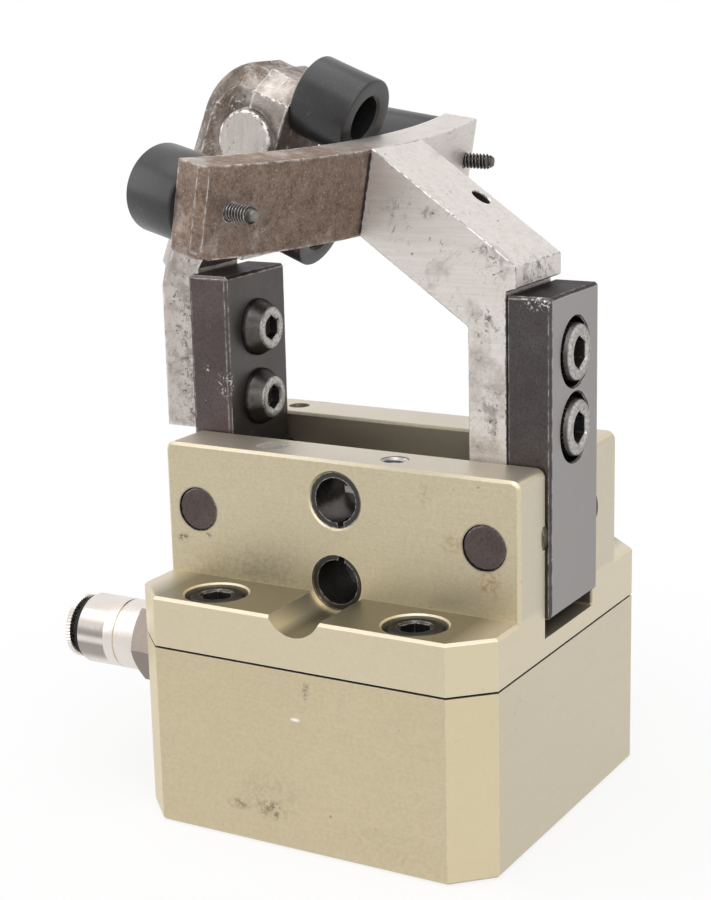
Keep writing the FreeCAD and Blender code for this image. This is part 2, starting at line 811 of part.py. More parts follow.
def make_fitting():
    hex_top = d.washer_thick + d.hex_length
    barrel_top = hex_top + d.barrel_length
    shank_r = d.port_dia / 2 - d.fit_gap
    socket_z = barrel_top - d.socket_depth
    body = new_body("fitting_body")
    hexagon = sketch(body, "XY_Plane", d.washer_thick)
    far = d.hex_key / math.sqrt(3)
    half = d.hex_key / 2
    outline(hexagon, [(far, 0), (far / 2, half), (-far / 2, half),
                      (-far, 0), (-far / 2, -half), (far / 2, -half)])
    pad(body, hexagon, d.hex_length)
    barrel = sketch(body, "XZ_Plane")
    barrel_r = d.barrel_dia / 2
    shank_end = d.over_cut - d.port_depth
    barrel_low = hex_top - d.over_cut
    outline(barrel, [(0, shank_end), (shank_r, shank_end), (shank_r, barrel_low),
                     (barrel_r, barrel_low), (barrel_r, barrel_top - d.edge_break),
                     (barrel_r - d.edge_break, barrel_top), (0, barrel_top)])
    revolve(body, barrel)
    for radius, floor in ((d.socket_dia / 2, socket_z),
                          (d.tube_dia / 2 + d.run_gap, socket_z - d.tube_stop),
                          (d.air_way_dia / 2, -d.port_depth)):
        hole = sketch(body, "XY_Plane", barrel_top)
        circle(hole, 0, 0, radius)
        pocket(body, hole, barrel_top - floor)
    lay_fitting(body)
    washer = ring(d.hex_key / 2, d.port_dia / 2 + d.fit_gap, d.washer_thick)
    keep(lay_fitting(washer), "fitting_washer")
    seal = ring(d.socket_dia / 2 - d.fit_gap, d.tube_dia / 2 + d.run_gap, d.ring_section)
    place(seal, z=socket_z)
    keep(lay_fitting(group_of_one(seal)), "fitting_tube_seal")
    end_ring = place(ring(barrel_r - d.edge_break, d.collar_neck_dia / 2 + d.soft_gap,
                          d.end_ring_thick), z=barrel_top)
    keep(lay_fitting(group_of_one(end_ring)), "fitting_end_ring")
    flange_low = barrel_top + d.end_ring_thick + d.collar_travel + d.soft_gap
    flange_high = flange_low + d.collar_thick
    neck_low = flange_low - d.collar_neck_length
    inner = d.tube_dia / 2 + d.run_gap
    neck = d.collar_neck_dia / 2
    rim = d.collar_dia / 2
    collar = turned("release_collar", [
        (inner, neck_low), (neck, neck_low), (neck, flange_low), (rim, flange_low),
        (rim, flange_high - d.edge_break), (rim - d.edge_break, flange_high), (inner, flange_high)])
    lay_fitting(collar)


def group_of_one(solid):
    """A holder that lets a solid keep its own place while the holder is turned."""
    holder = DOC.addObject("Part::Compound", "holder")
    holder.Links = [solid]
    return holder


# Piston and drive


def make_piston():
    piston_r = bore_r - d.slide_gap
    seal_low = piston_top - d.ring_section * 2
    seal_high = piston_top - d.ring_section
    guide_low = piston_z + d.ring_section
    guide_high = guide_low + d.guide_ring_height
    seal_r = piston_r - d.piston_ring_depth
    guide_r = piston_r - d.guide_ring_depth
    nut_r = d.nut_key / math.sqrt(3) + d.soft_gap
    nut_seat = piston_z + d.nut_height + d.nut_sunk
    hole = rod_stud_r + d.fit_gap
    turned("piston", [
        (nut_r, piston_z), (piston_r, piston_z), (piston_r, guide_low), (guide_r, guide_low),
        (guide_r, guide_high), (piston_r, guide_high), (piston_r, seal_low), (seal_r, seal_low),
        (seal_r, seal_high), (piston_r, seal_high), (piston_r, piston_top), (hole, piston_top),
        (hole, nut_seat), (nut_r, nut_seat)])
    seal = ring(bore_r - d.run_gap, seal_r + d.run_gap, d.ring_section - d.run_gap)
    keep(place(seal, z=seal_low + d.run_gap / 2), "piston_seal")
    guide = ring(bore_r - d.run_gap, guide_r + d.run_gap, d.guide_ring_height - d.run_gap)
    keep(place(guide, z=guide_low + d.run_gap / 2), "guide_ring")
    rod_low = piston_z + d.nut_sunk / 2
    rod_top = drive_base_z + d.drive_base_thick
    turned("piston_rod", [
        (0, rod_low), (rod_stud_r, rod_low), (rod_stud_r, piston_top),
        (rod_r, piston_top), (rod_r, drive_base_z), (rod_stud_r, drive_base_z),
        (rod_stud_r, rod_top), (0, rod_top)])
    nut_hole = place(cylinder(hole, d.nut_height + d.over_cut * 2), z=-d.over_cut)
    nut = cut(hex_prism(d.nut_key, d.nut_height), nut_hole)
    keep(place(nut, z=nut_seat - d.nut_height), "piston_nut")


def make_drive():
    """The fork that rides between the walls and carries the two drive pins of the levers."""
    body = new_body("drive_block")
    half = half_slot - d.slide_gap
    inner = d.lever_width / 2 + d.soft_gap
    floor = drive_base_z + d.drive_base_thick
    top = drive_base_z + d.drive_height
    profile = sketch(body, "YZ_Plane")
    outline(profile, [(-half, drive_base_z), (half, drive_base_z), (half, top), (inner, top),
                      (inner, floor), (-inner, floor), (-inner, top), (-half, top)])
    pad(body, profile, d.drive_length, both_ways=True)
    pins = sketch(body, "XZ_Plane")
    for x in (d.drive_pin_x, -d.drive_pin_x):
        circle(pins, x, drive_pin_z, d.drive_pin_dia / 2)
    pocket(body, pins, d.slot_width, both_ways=True)
    stud = sketch(body, "XY_Plane", drive_base_z)
    circle(stud, 0, 0, rod_stud_r + d.fit_gap)
    pocket(body, stud, d.drive_base_thick, reverse=True)
    pair = []
    for x in (-d.drive_pin_x, d.drive_pin_x):
        pin = cylinder(d.drive_pin_dia / 2 - d.fit_gap, half * 2)
        pair.append(place(pin, x, half, drive_pin_z, LIE_ALONG_Y))
    group("drive_pins", pair)


# Jaws: bell-crank levers, the left one the right one turned about the upright axis


def lever_point(side, run, across):
    """A point of the lever arm: run from the pivot towards the drive pin, across upwards."""
    x = pivot_x - run * cosine(half_swing) - across * sine(half_swing)
    z = pivot_z - run * sine(half_swing) + across * cosine(half_swing)
    return side * x, z


def make_jaw(name, side):
    body = new_body(f"{name}_jaw")
    bottom = pivot_z - d.jaw_below_pivot
    bar = sketch(body, "XZ_Plane")
    outline(bar, [(side * jaw_outer, bottom), (side * jaw_outer, jaw_top),
                  (side * jaw_inner, jaw_top), (side * jaw_inner, bottom)])
    pad(body, bar, jaw_half_width * 2, both_ways=True)
    break_edges(body, lambda e: not along(e, 0) or close(centre_of(e).z, jaw_top), d.edge_break)
    boss = sketch(body, "XZ_Plane")
    circle(boss, side * pivot_x, pivot_z, jaw_outer - d.edge_break - pivot_x)
    pad(body, boss, jaw_half_width * 2, both_ways=True)
    arm = sketch(body, "XZ_Plane")
    run = lever_reach / cosine(half_swing)
    tip = run + d.lever_tip
    half = d.lever_depth / 2
    outline(arm, [lever_point(side, 0, half), lever_point(side, tip, half),
                  lever_point(side, tip, -half), lever_point(side, 0, -half)])
    pad(body, arm, d.lever_width, both_ways=True)
    fork = sketch(body, "XZ_Plane")
    gap = d.drive_pin_dia / 2 + d.slide_gap
    # The slot starts where the pin comes closest to the pivot, with the lever level
    near = lever_reach - d.slide_gap
    far = tip + d.over_cut
    outline(fork, [lever_point(side, near, gap), lever_point(side, far, gap),
                   lever_point(side, far, -gap), lever_point(side, near, -gap)])
    pocket(body, fork, d.slot_width, both_ways=True)
    bush_r = d.pivot_pin_dia / 2 + d.jaw_bush_wall
    eyes = sketch(body, "XZ_Plane")
    circle(eyes, *lever_point(side, near, 0), gap)
    circle(eyes, side * pivot_x, pivot_z, bush_r + d.fit_gap)
    pocket(body, eyes, d.slot_width, both_ways=True)
    holes = sketch(body, "YZ_Plane", side * jaw_outer)
    seats = sketch(body, "YZ_Plane", side * jaw_outer)
    for z in jaw_screw_z:
        circle(holes, 0, z, d.clearance_hole_dia / 2)
        circle(seats, 0, z, d.jaw_bore_dia / 2)
    pocket(body, holes, d.jaw_thick + d.over_cut, reverse=side < 0)
    pocket(body, seats, d.jaw_bore_depth, reverse=side < 0)
    break_edges(body, lambda e: rim(e, 0, side * jaw_outer, d.jaw_bore_dia), d.rim_break)
    bush = ring(bush_r, d.pivot_pin_dia / 2 + d.run_gap, jaw_half_width * 2)
    keep(place(bush, side * pivot_x, jaw_half_width, pivot_z, LIE_ALONG_Y), f"{name}_jaw_bush")


# Right finger: a cranked bar that carries the curved bar with its two bumpers

bar_x = d.bar_offset
bar_z = pivot_z + d.bar_rise
arm_root_x = jaw_inner - d.arm_root_in
arm_slope = slope(bar_z - jaw_top, arm_root_x - bar_x)
arm_half_rise = d.arm_depth / 2 / cosine(arm_slope)


def arm_edge(x, side):
    """The level of the arm's upper (1) or lower (-1) edge at x."""
    return jaw_top + (arm_root_x - x) * tangent(arm_slope) + side * arm_half_rise


def in_bar(obj, out, y, up, rotation):
    """Places an object in the curved bar's tilted frame, whose origin is the crown of its back."""
    across = y * cosine(d.bar_roll) - up * sine(d.bar_roll)
    rise = y * sine(d.bar_roll) + up * cosine(d.bar_roll)
    x = bar_x + out * cosine(d.bar_tilt) + rise * sine(d.bar_tilt)
    z = bar_z - out * sine(d.bar_tilt) + rise * cosine(d.bar_tilt)
    return place(obj, x, across - d.bar_shift, z, turn_y(d.bar_tilt) * turn_x(d.bar_roll) * rotation)


def on_bar(obj, radius, angle, rotation):
    """Places an object on a radius of the curved bar, at half its height."""
    out = radius * cosine(angle) - d.bar_radius
    return in_bar(obj, out, radius * sine(angle), size(0), turn_z(angle) * rotation)


def make_right_finger():
    blank = new_body("right_finger_blank", finished=False)
    inner = jaw_inner - d.leg_thick
    leg_bottom = pivot_z + d.leg_rise
    over = jaw_inner + d.arm_overhang
    end = bar_x - d.bar_thick * 2
    profile = sketch(blank, "XZ_Plane", -d.finger_back)
    outline(profile, [
        (inner, leg_bottom), (jaw_inner, leg_bottom), (jaw_inner, jaw_top + d.arm_jaw_gap),
        (over, jaw_top + d.arm_jaw_gap * 2), (over, arm_edge(over, 1)), (end, arm_edge(end, 1)),
        (end, arm_edge(end, -1)), (inner, arm_edge(inner, -1))])
    pad(blank, profile, d.finger_front + d.finger_back)
    holes = sketch(blank, "YZ_Plane", jaw_inner)
    for z in jaw_screw_z:
        circle(holes, 0, z, thread_r + d.fit_gap)
    pocket(blank, holes, d.leg_thick)
    # The end of the arm is hollowed to the back of the curved bar
    reach = d.bar_height * 3
    back = cylinder(d.bar_radius + d.fit_gap, reach * 2)
    in_bar(back, -d.bar_radius, size(0), -reach, turn_z(0))
    bore = cylinder(d.arm_hole_dia / 2, d.arm_hole_depth * 2)
    hole_x = jaw_inner - d.arm_hole_run
    tip_x = hole_x - d.arm_hole_depth * sine(arm_slope)
    tip_z = arm_edge(hole_x, 1) - d.arm_hole_depth * cosine(arm_slope)
    place(bore, tip_x, d.finger_back - d.arm_hole_dia, tip_z, turn_y(arm_slope))
    keep(cut(cut(blank, back), bore), "right_finger")


def make_arc_bar():
    """The curved bar, drawn in its own tilted plane about the crown of its back."""
    blank = new_body("arc_bar_blank", finished=False)
    outer = d.bar_radius
    inner = d.bar_radius - d.bar_thick
    half = d.bar_height / 2
    front_cos = cosine(d.bar_front_angle)
    front_sin = sine(d.bar_front_angle)
    rear_cos = cosine(d.bar_rear_angle)
    rear_sin = sine(d.bar_rear_angle)
    plan = sketch(blank, "XY_Plane", -half)
    outline(plan, [
        (outer * front_cos - outer, -outer * front_sin), (outer * rear_cos - outer, outer * rear_sin),
        (inner * rear_cos - outer, inner * rear_sin), (inner * front_cos - outer, -inner * front_sin)],
        arcs={0: (outer, 1), 2: (inner, -1)})
    pad(blank, plan, d.bar_height)
    break_edges(blank, lambda e: along(e, 2) and close(centre_of(e).y, -outer * front_sin), d.bar_end_bevel)

    def worn_corner(edge):
        middle = centre_of(edge)
        low_front = middle.y < 0 and close(middle.z, -half)
        high_rear = middle.y > 0 and close(middle.z, half)
        return edge.Curve.TypeId == "Part::GeomLine" and (low_front or high_rear)

    break_edges(blank, worn_corner, d.bar_corner, "Fillet")
    in_bar(blank, size(0), size(0), size(0), turn_z(0))
    bar = blank
    for angle in (-d.stud_front_angle, d.stud_rear_angle):
        bore = cylinder(d.stud_dia / 2 + d.fit_gap, d.bar_thick * 3)
        bar = cut(bar, on_bar(bore, outer - d.bar_thick * 2, angle, turn_y(90)))
    keep(bar, "arc_bar")


def bumper_profile(length, hole):
    """A plain cylinder with broken rims: hole is its list of inner radius and height pairs."""
    radius = d.bumper_dia / 2
    rim = radius - d.bumper_edge
    return hole[:1] + [(rim, 0), (radius, d.bumper_edge), (radius, length - d.bumper_edge),
                       (rim, length)] + hole[1:]


def make_bar_bumpers():
    stud_r = d.stud_dia / 2
    face_r = d.bar_radius - d.bar_thick
    # A flat end stands off a hollow face by the depth of the hollow under it
    hollow = face_r - root(face_r * face_r - d.bumper_dia * d.bumper_dia / 4)
    seat_r = face_r - hollow
    depth = d.stud_in + d.stud_dia / 2
    hole_r = stud_r + d.fit_gap
    for name, angle in (("front", -d.stud_front_angle), ("rear", d.stud_rear_angle)):
        profile = bumper_profile(d.bar_bumper_length, [
            (hole_r, 0), (0, d.bar_bumper_length), (0, depth), (hole_r, depth)])
        on_bar(turned(f"{name}_bumper", profile), seat_r, angle, turn_y(-90))
        tip = d.stud_dia / 8
        length = d.stud_in + hollow + d.bar_thick + d.stud_out
        stud = turned(f"{name}_stud", [
            (0, 0), (stud_r, 0), (stud_r, length - tip), (stud_r - tip, length), (0, length)])
        on_bar(stud, seat_r - d.stud_in, angle, turn_y(90))


# Left finger: a leg behind the left jaw and a leaning head with the bumper plate

head_x = -d.head_offset
head_z = pivot_z + d.head_rise


def head_point(out, up):
    """A point of the leaning head: out from the plate's face, up along it."""
    x = head_x + out * cosine(d.head_tilt) + up * sine(d.head_tilt)
    z = head_z - out * sine(d.head_tilt) + up * cosine(d.head_tilt)
    return x, z


def in_head(obj, out, y, up, rotation):
    x, z = head_point(out, up)
    return place(obj, x, y, z, turn_y(d.head_tilt) * rotation)


def cross_pin(radius, front, back):
    pin = cylinder(radius, front + back)
    return in_head(pin, -d.cross_pin_in, back, -d.cross_pin_depth, LIE_ALONG_Y)


def make_left_finger():
    blank = new_body("left_finger_blank", finished=False)
    leg_outer = -(jaw_outer + d.left_leg_thick)
    leg_bottom = pivot_z + d.left_leg_rise
    ledge = jaw_top + d.arm_jaw_gap
    rise = d.head_top + d.head_drop
    crown = d.head_round - d.head_thick - root(d.head_round * d.head_round - rise * rise)
    profile = sketch(blank, "XZ_Plane")
    outline(profile, [
        (leg_outer, leg_bottom), (-jaw_outer, leg_bottom), (-jaw_outer, ledge),
        head_point(-d.plate_thick, -d.plate_tail), head_point(-d.plate_thick, d.head_top),
        head_point(crown, d.head_top), head_point(-d.head_thick, -d.head_drop),
        head_point(-d.head_thick, -d.head_tail), (leg_outer, ledge)],
        arcs={5: (d.head_round, 1)})
    pad(blank, profile, d.left_width, both_ways=True)

    def head_rim(edge):
        middle = centre_of(edge)
        round_nose = edge.Curve.TypeId == "Part::GeomCircle"
        start, end = (v.Point for v in (edge.Vertexes[0], edge.Vertexes[-1]))
        outer = all(close(offset_from_plate(p), -d.head_thick) for p in (start, end))
        top = all(close(height_on_plate(p), d.head_top) for p in (start, end))
        return middle.y < -1 and (round_nose or outer or top)

    break_edges(blank, head_rim, d.head_bevel)
    holes = sketch(blank, "YZ_Plane", -jaw_outer)
    for z in jaw_screw_z:
        circle(holes, 0, z, thread_r + d.fit_gap)
    pocket(blank, holes, d.left_leg_thick)
    bore = cross_pin(d.cross_pin_dia / 2 + d.fit_gap, d.plate_width, d.plate_width)
    keep(cut(blank, bore), "left_finger")


def offset_from_plate(point):
    """How far a point stands out from the plate's face."""
    tilt = math.radians(d.head_tilt.number)
    return (point.x - head_x.number) * math.cos(tilt) - (point.z - head_z.number) * math.sin(tilt)


def height_on_plate(point):
    """How far up the plate's face a point lies."""
    tilt = math.radians(d.head_tilt.number)
    return (point.x - head_x.number) * math.sin(tilt) + (point.z - head_z.number) * math.cos(tilt)


def make_bumper_plate():
    blank = new_body("bumper_plate_blank", finished=False)
    profile = sketch(blank, "XZ_Plane")
    outline(profile, [(0, -d.plate_tail), (0, d.plate_top),
                      (-d.plate_thick, d.plate_top), (-d.plate_thick, -d.plate_tail)])
    pad(blank, profile, d.plate_width, both_ways=True)
    break_edges(blank, lambda e: along(e, 0) and close(centre_of(e).z, d.plate_top)
                and centre_of(e).y < 0, d.plate_bevel)
    holes = sketch(blank, "YZ_Plane")
    for up in (0, -d.bumper_pitch):
        circle(holes, 0, up, d.bumper_screw_dia / 2 + d.fit_gap)
    pocket(blank, holes, d.bumper_screw_grip)
    in_head(blank, size(0), size(0), size(0), turn_z(0))
    bore = cross_pin(d.cross_pin_dia / 2 + d.fit_gap, d.plate_width, d.plate_width)
    keep(cut(blank, bore), "bumper_plate")
    half = d.plate_width / 2
    keep(cross_pin(d.cross_pin_dia / 2, half + d.cross_pin_proud, half), "cross_pin")


def make_left_bumpers():
    screws = []
    shank_r = d.bumper_screw_dia / 2
    hole_r = d.bumper_hole_dia / 2
    for name, up, length in (("upper", size(0), d.upper_bumper_length),
                             ("lower", -d.bumper_pitch, d.lower_bumper_length)):
        profile = bumper_profile(length, [
            (shank_r + d.run_gap, 0), (hole_r, length), (hole_r, d.bumper_web),
            (shank_r + d.run_gap, d.bumper_web)])
        bumper = turned(f"{name}_bumper", profile)
        in_head(bumper, size(0), size(0), up, turn_y(90))
        head = cylinder(d.bumper_screw_head_dia / 2, d.bumper_screw_head_height)
        grip = d.bumper_web + d.bumper_screw_grip - d.thread_end_gap
        fixing = screw(head, d.bumper_screw_head_height, shank_r, grip, d.bumper_screw_key)
        screws.append(in_head(fixing, d.bumper_web, size(0), up, turn_y(90)))
    group("left_bumper_screws", screws)


def make_finger_screws():
    right = []
    left = []
    seat = jaw_outer - d.jaw_bore_depth
    right_grip = seat - jaw_inner + d.leg_thick - d.thread_end_gap
    left_grip = d.jaw_thick + d.left_leg_thick - d.thread_end_gap
    for z in jaw_screw_z:
        right.append(place(cap_screw(right_grip), seat, 0, z, turn_y(90)))
        left.append(place(button_screw(left_grip), -jaw_inner, 0, z, turn_y(90)))
    group("right_finger_screws", right)
    group("left_finger_screws", left)


def write_parts():
    """Checks every object and every sub-part's shape, then writes one file for each sub-part."""
    DOC.recompute()
    for obj in DOC.Objects:
        if any(word in obj.State for word in ("Invalid", "Error")):
            raise ValueError(f"{obj.Label} failed: {obj.State}")
    for obj in SUBPARTS:
        if obj.Shape.isNull() or not obj.Shape.isValid() or not obj.Shape.Solids:
            raise ValueError(f"{obj.Label} has no valid solid")
    os.makedirs("parts", exist_ok=True)
    for obj in SUBPARTS:
        obj.Shape.exportStep(os.path.join("parts", f"{obj.Label}.step"))
        print(obj.Label, len(obj.Shape.Solids), round(obj.Shape.Volume, 1))


make_cylinder_block()
make_body_gasket()
make_guide_body()
make_housing_fasteners()
make_sleeves()
make_rod_guides()
make_fitting()
make_piston()
make_drive()
make_jaw("right", 1)
make_jaw("left", -1)
make_right_finger()
make_arc_bar()
make_bar_bumpers()
make_left_finger()
make_bumper_plate()
make_left_bumpers()
make_finger_screws()
write_parts()
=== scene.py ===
"""Pneumatic angular gripper: finishes, fine detail, studio light and camera around the CAD frame."""
from math import cos, pi, radians, sin, sqrt

import bmesh
import bpy
from mathutils import Matrix, Vector
from mathutils.noise import noise as unevenness


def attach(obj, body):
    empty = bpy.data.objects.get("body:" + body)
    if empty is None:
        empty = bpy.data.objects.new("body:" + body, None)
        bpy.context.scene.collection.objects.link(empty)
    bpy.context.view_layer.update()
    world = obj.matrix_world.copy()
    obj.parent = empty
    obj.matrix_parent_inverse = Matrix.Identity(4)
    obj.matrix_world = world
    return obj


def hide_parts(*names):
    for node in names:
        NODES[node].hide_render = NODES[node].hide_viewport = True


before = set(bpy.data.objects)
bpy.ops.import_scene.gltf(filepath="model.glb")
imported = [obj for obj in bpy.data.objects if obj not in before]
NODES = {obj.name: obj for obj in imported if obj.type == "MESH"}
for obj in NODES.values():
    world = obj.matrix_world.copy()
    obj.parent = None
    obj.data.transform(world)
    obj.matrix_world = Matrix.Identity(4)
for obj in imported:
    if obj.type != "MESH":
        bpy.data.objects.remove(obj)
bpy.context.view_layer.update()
SCENE = bpy.context.scene
MM = 0.001

# Sizes that the fine detail shares with the solids, in millimetres
BASE_HALF = 35
MOUNT_SIDES = (-27, 27)
RETURN_PORT_MOUTH = (-BASE_HALF, 16, 10)
FLANGE_SCREWS = [(x, y) for x in (-19.7, 19.7) for y in (-28.35, 28.35)]
FLANGE_TOP_Z = 42.0
FLANGE_SEAT_Z = 35.7
WALL_TOP_Z = 66.0
WALL_HOLES_Y = -15.15
WALL_THREAD_X = 9.2
DOWEL_X = -15.5
PIVOT_X = 28.5
PIVOT_Z = 54.1
PIN_RADIUS = 3.95
PIN_HALF_LENGTH = 20.2
JAW_SCREW_Z = (71.0, 84.0)
RIGHT_SEAT_X = 30.85
LEFT_SEAT_X = -27.6
ARM_HOLE_MOUTH = (16.1, 4.8, 108.79)
ARM_HOLE_AXIS = (0.5714, 0, 0.8206)
BAR_ORIGIN = Vector((1.6, -1.9, 110.5))
BAR_TILT = radians(10.4)
BAR_ROLL = radians(0.9)
BAR_RADIUS = 169.0
BAR_THICK = 6.1
BAR_STUDS = (("front", -14.2), ("rear", 12.7))
STUD_RADIUS = 1.5
STUD_IN = 6.0
BUMPER_RADIUS = 7.45
BUMPER_SEAT = sqrt((BAR_RADIUS - BAR_THICK) ** 2 - BUMPER_RADIUS**2)
BAR_BUMPER_LENGTH = 10.6
HEAD_ORIGIN = Vector((-14.2, 0, 126.1))
HEAD_TILT = radians(21.65)
BUMPER_PITCH = 21.2
HEAD_BUMPERS = (("upper", 0, 11.3), ("lower", -BUMPER_PITCH, 9.8))
BUMPER_HOLE_RADIUS = 4.0
BUMPER_SCREW_HOLE = 1.56
BUMPER_WEB = 4.5
FITTING_ORIGIN = Vector((-BASE_HALF, -16, 26.4))
FITTING_KEY = 14.0
CAP_KEY = 5.0
BUTTON_KEY = 4.0
SMALL_KEY = 2.5

# Frames of the curved bar and of the ground head
BAR_FRAME = (Matrix.Translation(BAR_ORIGIN) @ Matrix.Rotation(BAR_TILT, 4, "Y")
             @ Matrix.Rotation(BAR_ROLL, 4, "X"))
HEAD_FRAME = Matrix.Translation(HEAD_ORIGIN) @ Matrix.Rotation(HEAD_TILT, 4, "Y")
UP = Vector((0, 0, 1))
ALONG_X = Matrix.Rotation(pi / 2, 4, "Y")


# Node building


def add(tree, kind, inputs=None, **settings):
    """A node with its settings, and its inputs set to a value or linked to a socket."""
    made = tree.nodes.new(kind)
    for key, value in settings.items():
        setattr(made, key, value)
    for key, value in (inputs or {}).items():
        if isinstance(value, bpy.types.NodeSocket):
            tree.links.new(value, made.inputs[key])
        else:
            made.inputs[key].default_value = value
    return made


def calc(tree, operation, a, b=0.0):
    return add(tree, "ShaderNodeMath", {0: a, 1: b}, operation=operation).outputs[0]


def times(tree, a, b):
    return calc(tree, "MULTIPLY", a, b)


def vector(tree, operation, a, b=(0.0, 0.0, 0.0), output=0):
    return add(tree, "ShaderNodeVectorMath", {0: a, 1: b}, operation=operation).outputs[output]


def remap(tree, value, low, high, to_low=0.0, to_high=1.0):
    inputs = {"Value": value, "From Min": low, "From Max": high, "To Min": to_low, "To Max": to_high}
    return add(tree, "ShaderNodeMapRange", inputs).outputs[0]


def mix(tree, factor, a, b):
    """The first colour, going over to the second with the factor."""
    # Inputs 6 and 7 are the node's two colours, and output 2 is the mixed one
    return add(tree, "ShaderNodeMix", {0: factor, 6: a, 7: b}, data_type="RGBA").outputs[2]


def place_mm(tree):
    """The surface point in millimetres of the part's own frame."""
    coords = add(tree, "ShaderNodeTexCoord").outputs["Object"]
    return stretch(tree, coords, (1 / MM, 1 / MM, 1 / MM))


def stretch(tree, point, factors):
    return vector(tree, "MULTIPLY", point, factors)


def noise(tree, point, scale, detail=3.0, roughness=0.55, distortion=0.0):
    inputs = {"Vector": point, "Scale": scale, "Detail": detail, "Roughness": roughness,
              "Distortion": distortion}
    return add(tree, "ShaderNodeTexNoise", inputs).outputs[0]


def cells(tree, point, scale):
    """How far the point is from the nearest of many scattered places."""
    return add(tree, "ShaderNodeTexVoronoi", {"Vector": point, "Scale": scale}).outputs["Distance"]


def coordinate(tree, point, axis):
    return add(tree, "ShaderNodeSeparateXYZ", {0: point}).outputs[axis]


def facing(tree, axis):
    """How far the surface looks along a frame axis."""
    return coordinate(tree, add(tree, "ShaderNodeNewGeometry").outputs["Normal"], axis)


def slanted(tree, point, angles):
    """The point in a turned frame, so that a drawn-out pattern runs slantwise."""
    turn = tuple(radians(a) for a in angles)
    return add(tree, "ShaderNodeMapping", {"Vector": point, "Rotation": turn}).outputs[0]


def warp(tree, point, scale, reach):
    """The point pushed about by noise, which breaks up regular patterns."""
    drift = add(tree, "ShaderNodeTexNoise", {"Vector": point, "Scale": scale, "Detail": 3.0})
    push = vector(tree, "SUBTRACT", drift.outputs["Color"], (0.5, 0.5, 0.5))
    return vector(tree, "ADD", point, stretch(tree, push, (reach, reach, reach)))


def edge_wear(tree, point, radius_mm, grain=0.9):
    """How worn an edge is: strong where the rounded normal leaves the flat one, broken up by noise."""
    soft = add(tree, "ShaderNodeBevel", {"Radius": radius_mm * MM}, samples=4).outputs[0]
    flat = add(tree, "ShaderNodeNewGeometry").outputs["Normal"]
    same = vector(tree, "DOT_PRODUCT", soft, flat, "Value")
    edge = remap(tree, same, 0.985, 0.86)
    patchy = remap(tree, noise(tree, point, grain, 4.0), 0.4, 0.62, 0.06, 1.0)
    return times(tree, edge, patchy)


def spot(tree, point, centre, reach):
    """One at a place on the part, fading to nothing at its reach along each axis."""
    away = vector(tree, "SUBTRACT", point, centre)
    shares = tuple(1.0 / r for r in reach)
    distance = vector(tree, "LENGTH", stretch(tree, away, shares), output="Value")
    return remap(tree, distance, 1.0, 0.35)


def any_spot(tree, point, places):
    """The strongest of several spots, given as centre and reach."""
    total = spot(tree, point, *places[0])
    for place in places[1:]:
        total = calc(tree, "MAXIMUM", total, spot(tree, point, *place))
    return total


def around_axis(tree, point, x, z, inner, outer):
    """One up to a radius about an axis along Y, fading to nothing at an outer one."""
    away = vector(tree, "SUBTRACT", point, (x, 0, z))
    distance = vector(tree, "LENGTH", stretch(tree, away, (1, 0, 1)), output="Value")
    return remap(tree, distance, outer, inner)


def scratches(tree, point, factors, scale, width):
    """Thin lines along the least stretched axis, where a drawn-out noise crosses its middle."""
    drawn = noise(tree, stretch(tree, point, factors), scale, 2.0, 0.5, 0.6)
    off = calc(tree, "ABSOLUTE", calc(tree, "SUBTRACT", drawn, 0.5))
    return remap(tree, off, width, 0.0)


def new_material(name):
    material = bpy.data.materials.new(name)
    material.use_nodes = True
    material.node_tree.nodes.clear()
    return material, material.node_tree


def surface(tree, color, roughness, metallic, relief, relief_mm, **extra):
    """The surface shader, with a relief of a depth in millimetres."""
    bump = add(tree, "ShaderNodeBump", {"Height": relief, "Distance": relief_mm * MM})
    inputs = {"Base Color": color, "Roughness": roughness, "Metallic": metallic, "Normal": bump.outputs[0]}
    shader = add(tree, "ShaderNodeBsdfPrincipled", {**inputs, **extra})
    add(tree, "ShaderNodeOutputMaterial", {"Surface": shader.outputs[0]})


# Finishes

# Tints of the anodised aluminium, among them painted highlights, painted shade and a painted reflection
TOOL_LINE = (0.46, 0.39, 0.25, 1)
CROSS_LINE = (0.68, 0.6, 0.44, 1)
MOTTLE = (0.42, 0.355, 0.225, 1)
GRAIN = (0.4, 0.345, 0.24, 1)
# Painted highlights on upward and right faces
UPWARD_PAINTED_HIGHLIGHT = (0.72, 0.67, 0.6, 1)
RIGHT_PAINTED_HIGHLIGHT = (0.62, 0.57, 0.475, 1)
# Painted light on faces half turned along X, such as the block's corner chamfer
HALF_TURNED_PAINTED_LIGHT = (0.74, 0.645, 0.43, 1)
DARK_SPECK = (0.24, 0.19, 0.12, 1)
RUBBED_ANODISED = (0.84, 0.79, 0.68, 1)
FLANGE_TINT = (0.745, 0.66, 0.49, 1)
# Painted shade in the slot between the walls, darker towards its bottom
DEEP_SLOT_SHADE = (0.155, 0.135, 0.105, 1)
HIGH_SLOT_SHADE = (0.4, 0.347, 0.27, 1)
# Painted reflection: the flange's top between the walls painted dark
LEDGE_PAINTED_REFLECTION = (0.205, 0.182, 0.112, 1)

# Tints of the black oxide where it is rubbed, scratched, chipped or flaked
OXIDE_END = (0.6, 0.575, 0.55, 1)
OXIDE_SCRATCH = (0.42, 0.4, 0.39, 1)
OXIDE_CHIP = (0.66, 0.64, 0.62, 1)
OXIDE_FLAKE = (0.8, 0.785, 0.77, 1)
OXIDE_EDGE = (0.78, 0.76, 0.74, 1)

# Tints of the bare steel
PIT_STAIN = (0.22, 0.19, 0.168, 1)
PIT_FLOOR = (0.085, 0.072, 0.063, 1)
STEEL_SPECK = (0.16, 0.138, 0.122, 1)
CHIPPED_EDGE = (0.17, 0.145, 0.128, 1)
GOUGE = (0.78, 0.755, 0.73, 1)
BRIGHT_STEEL = (0.9, 0.885, 0.87, 1)

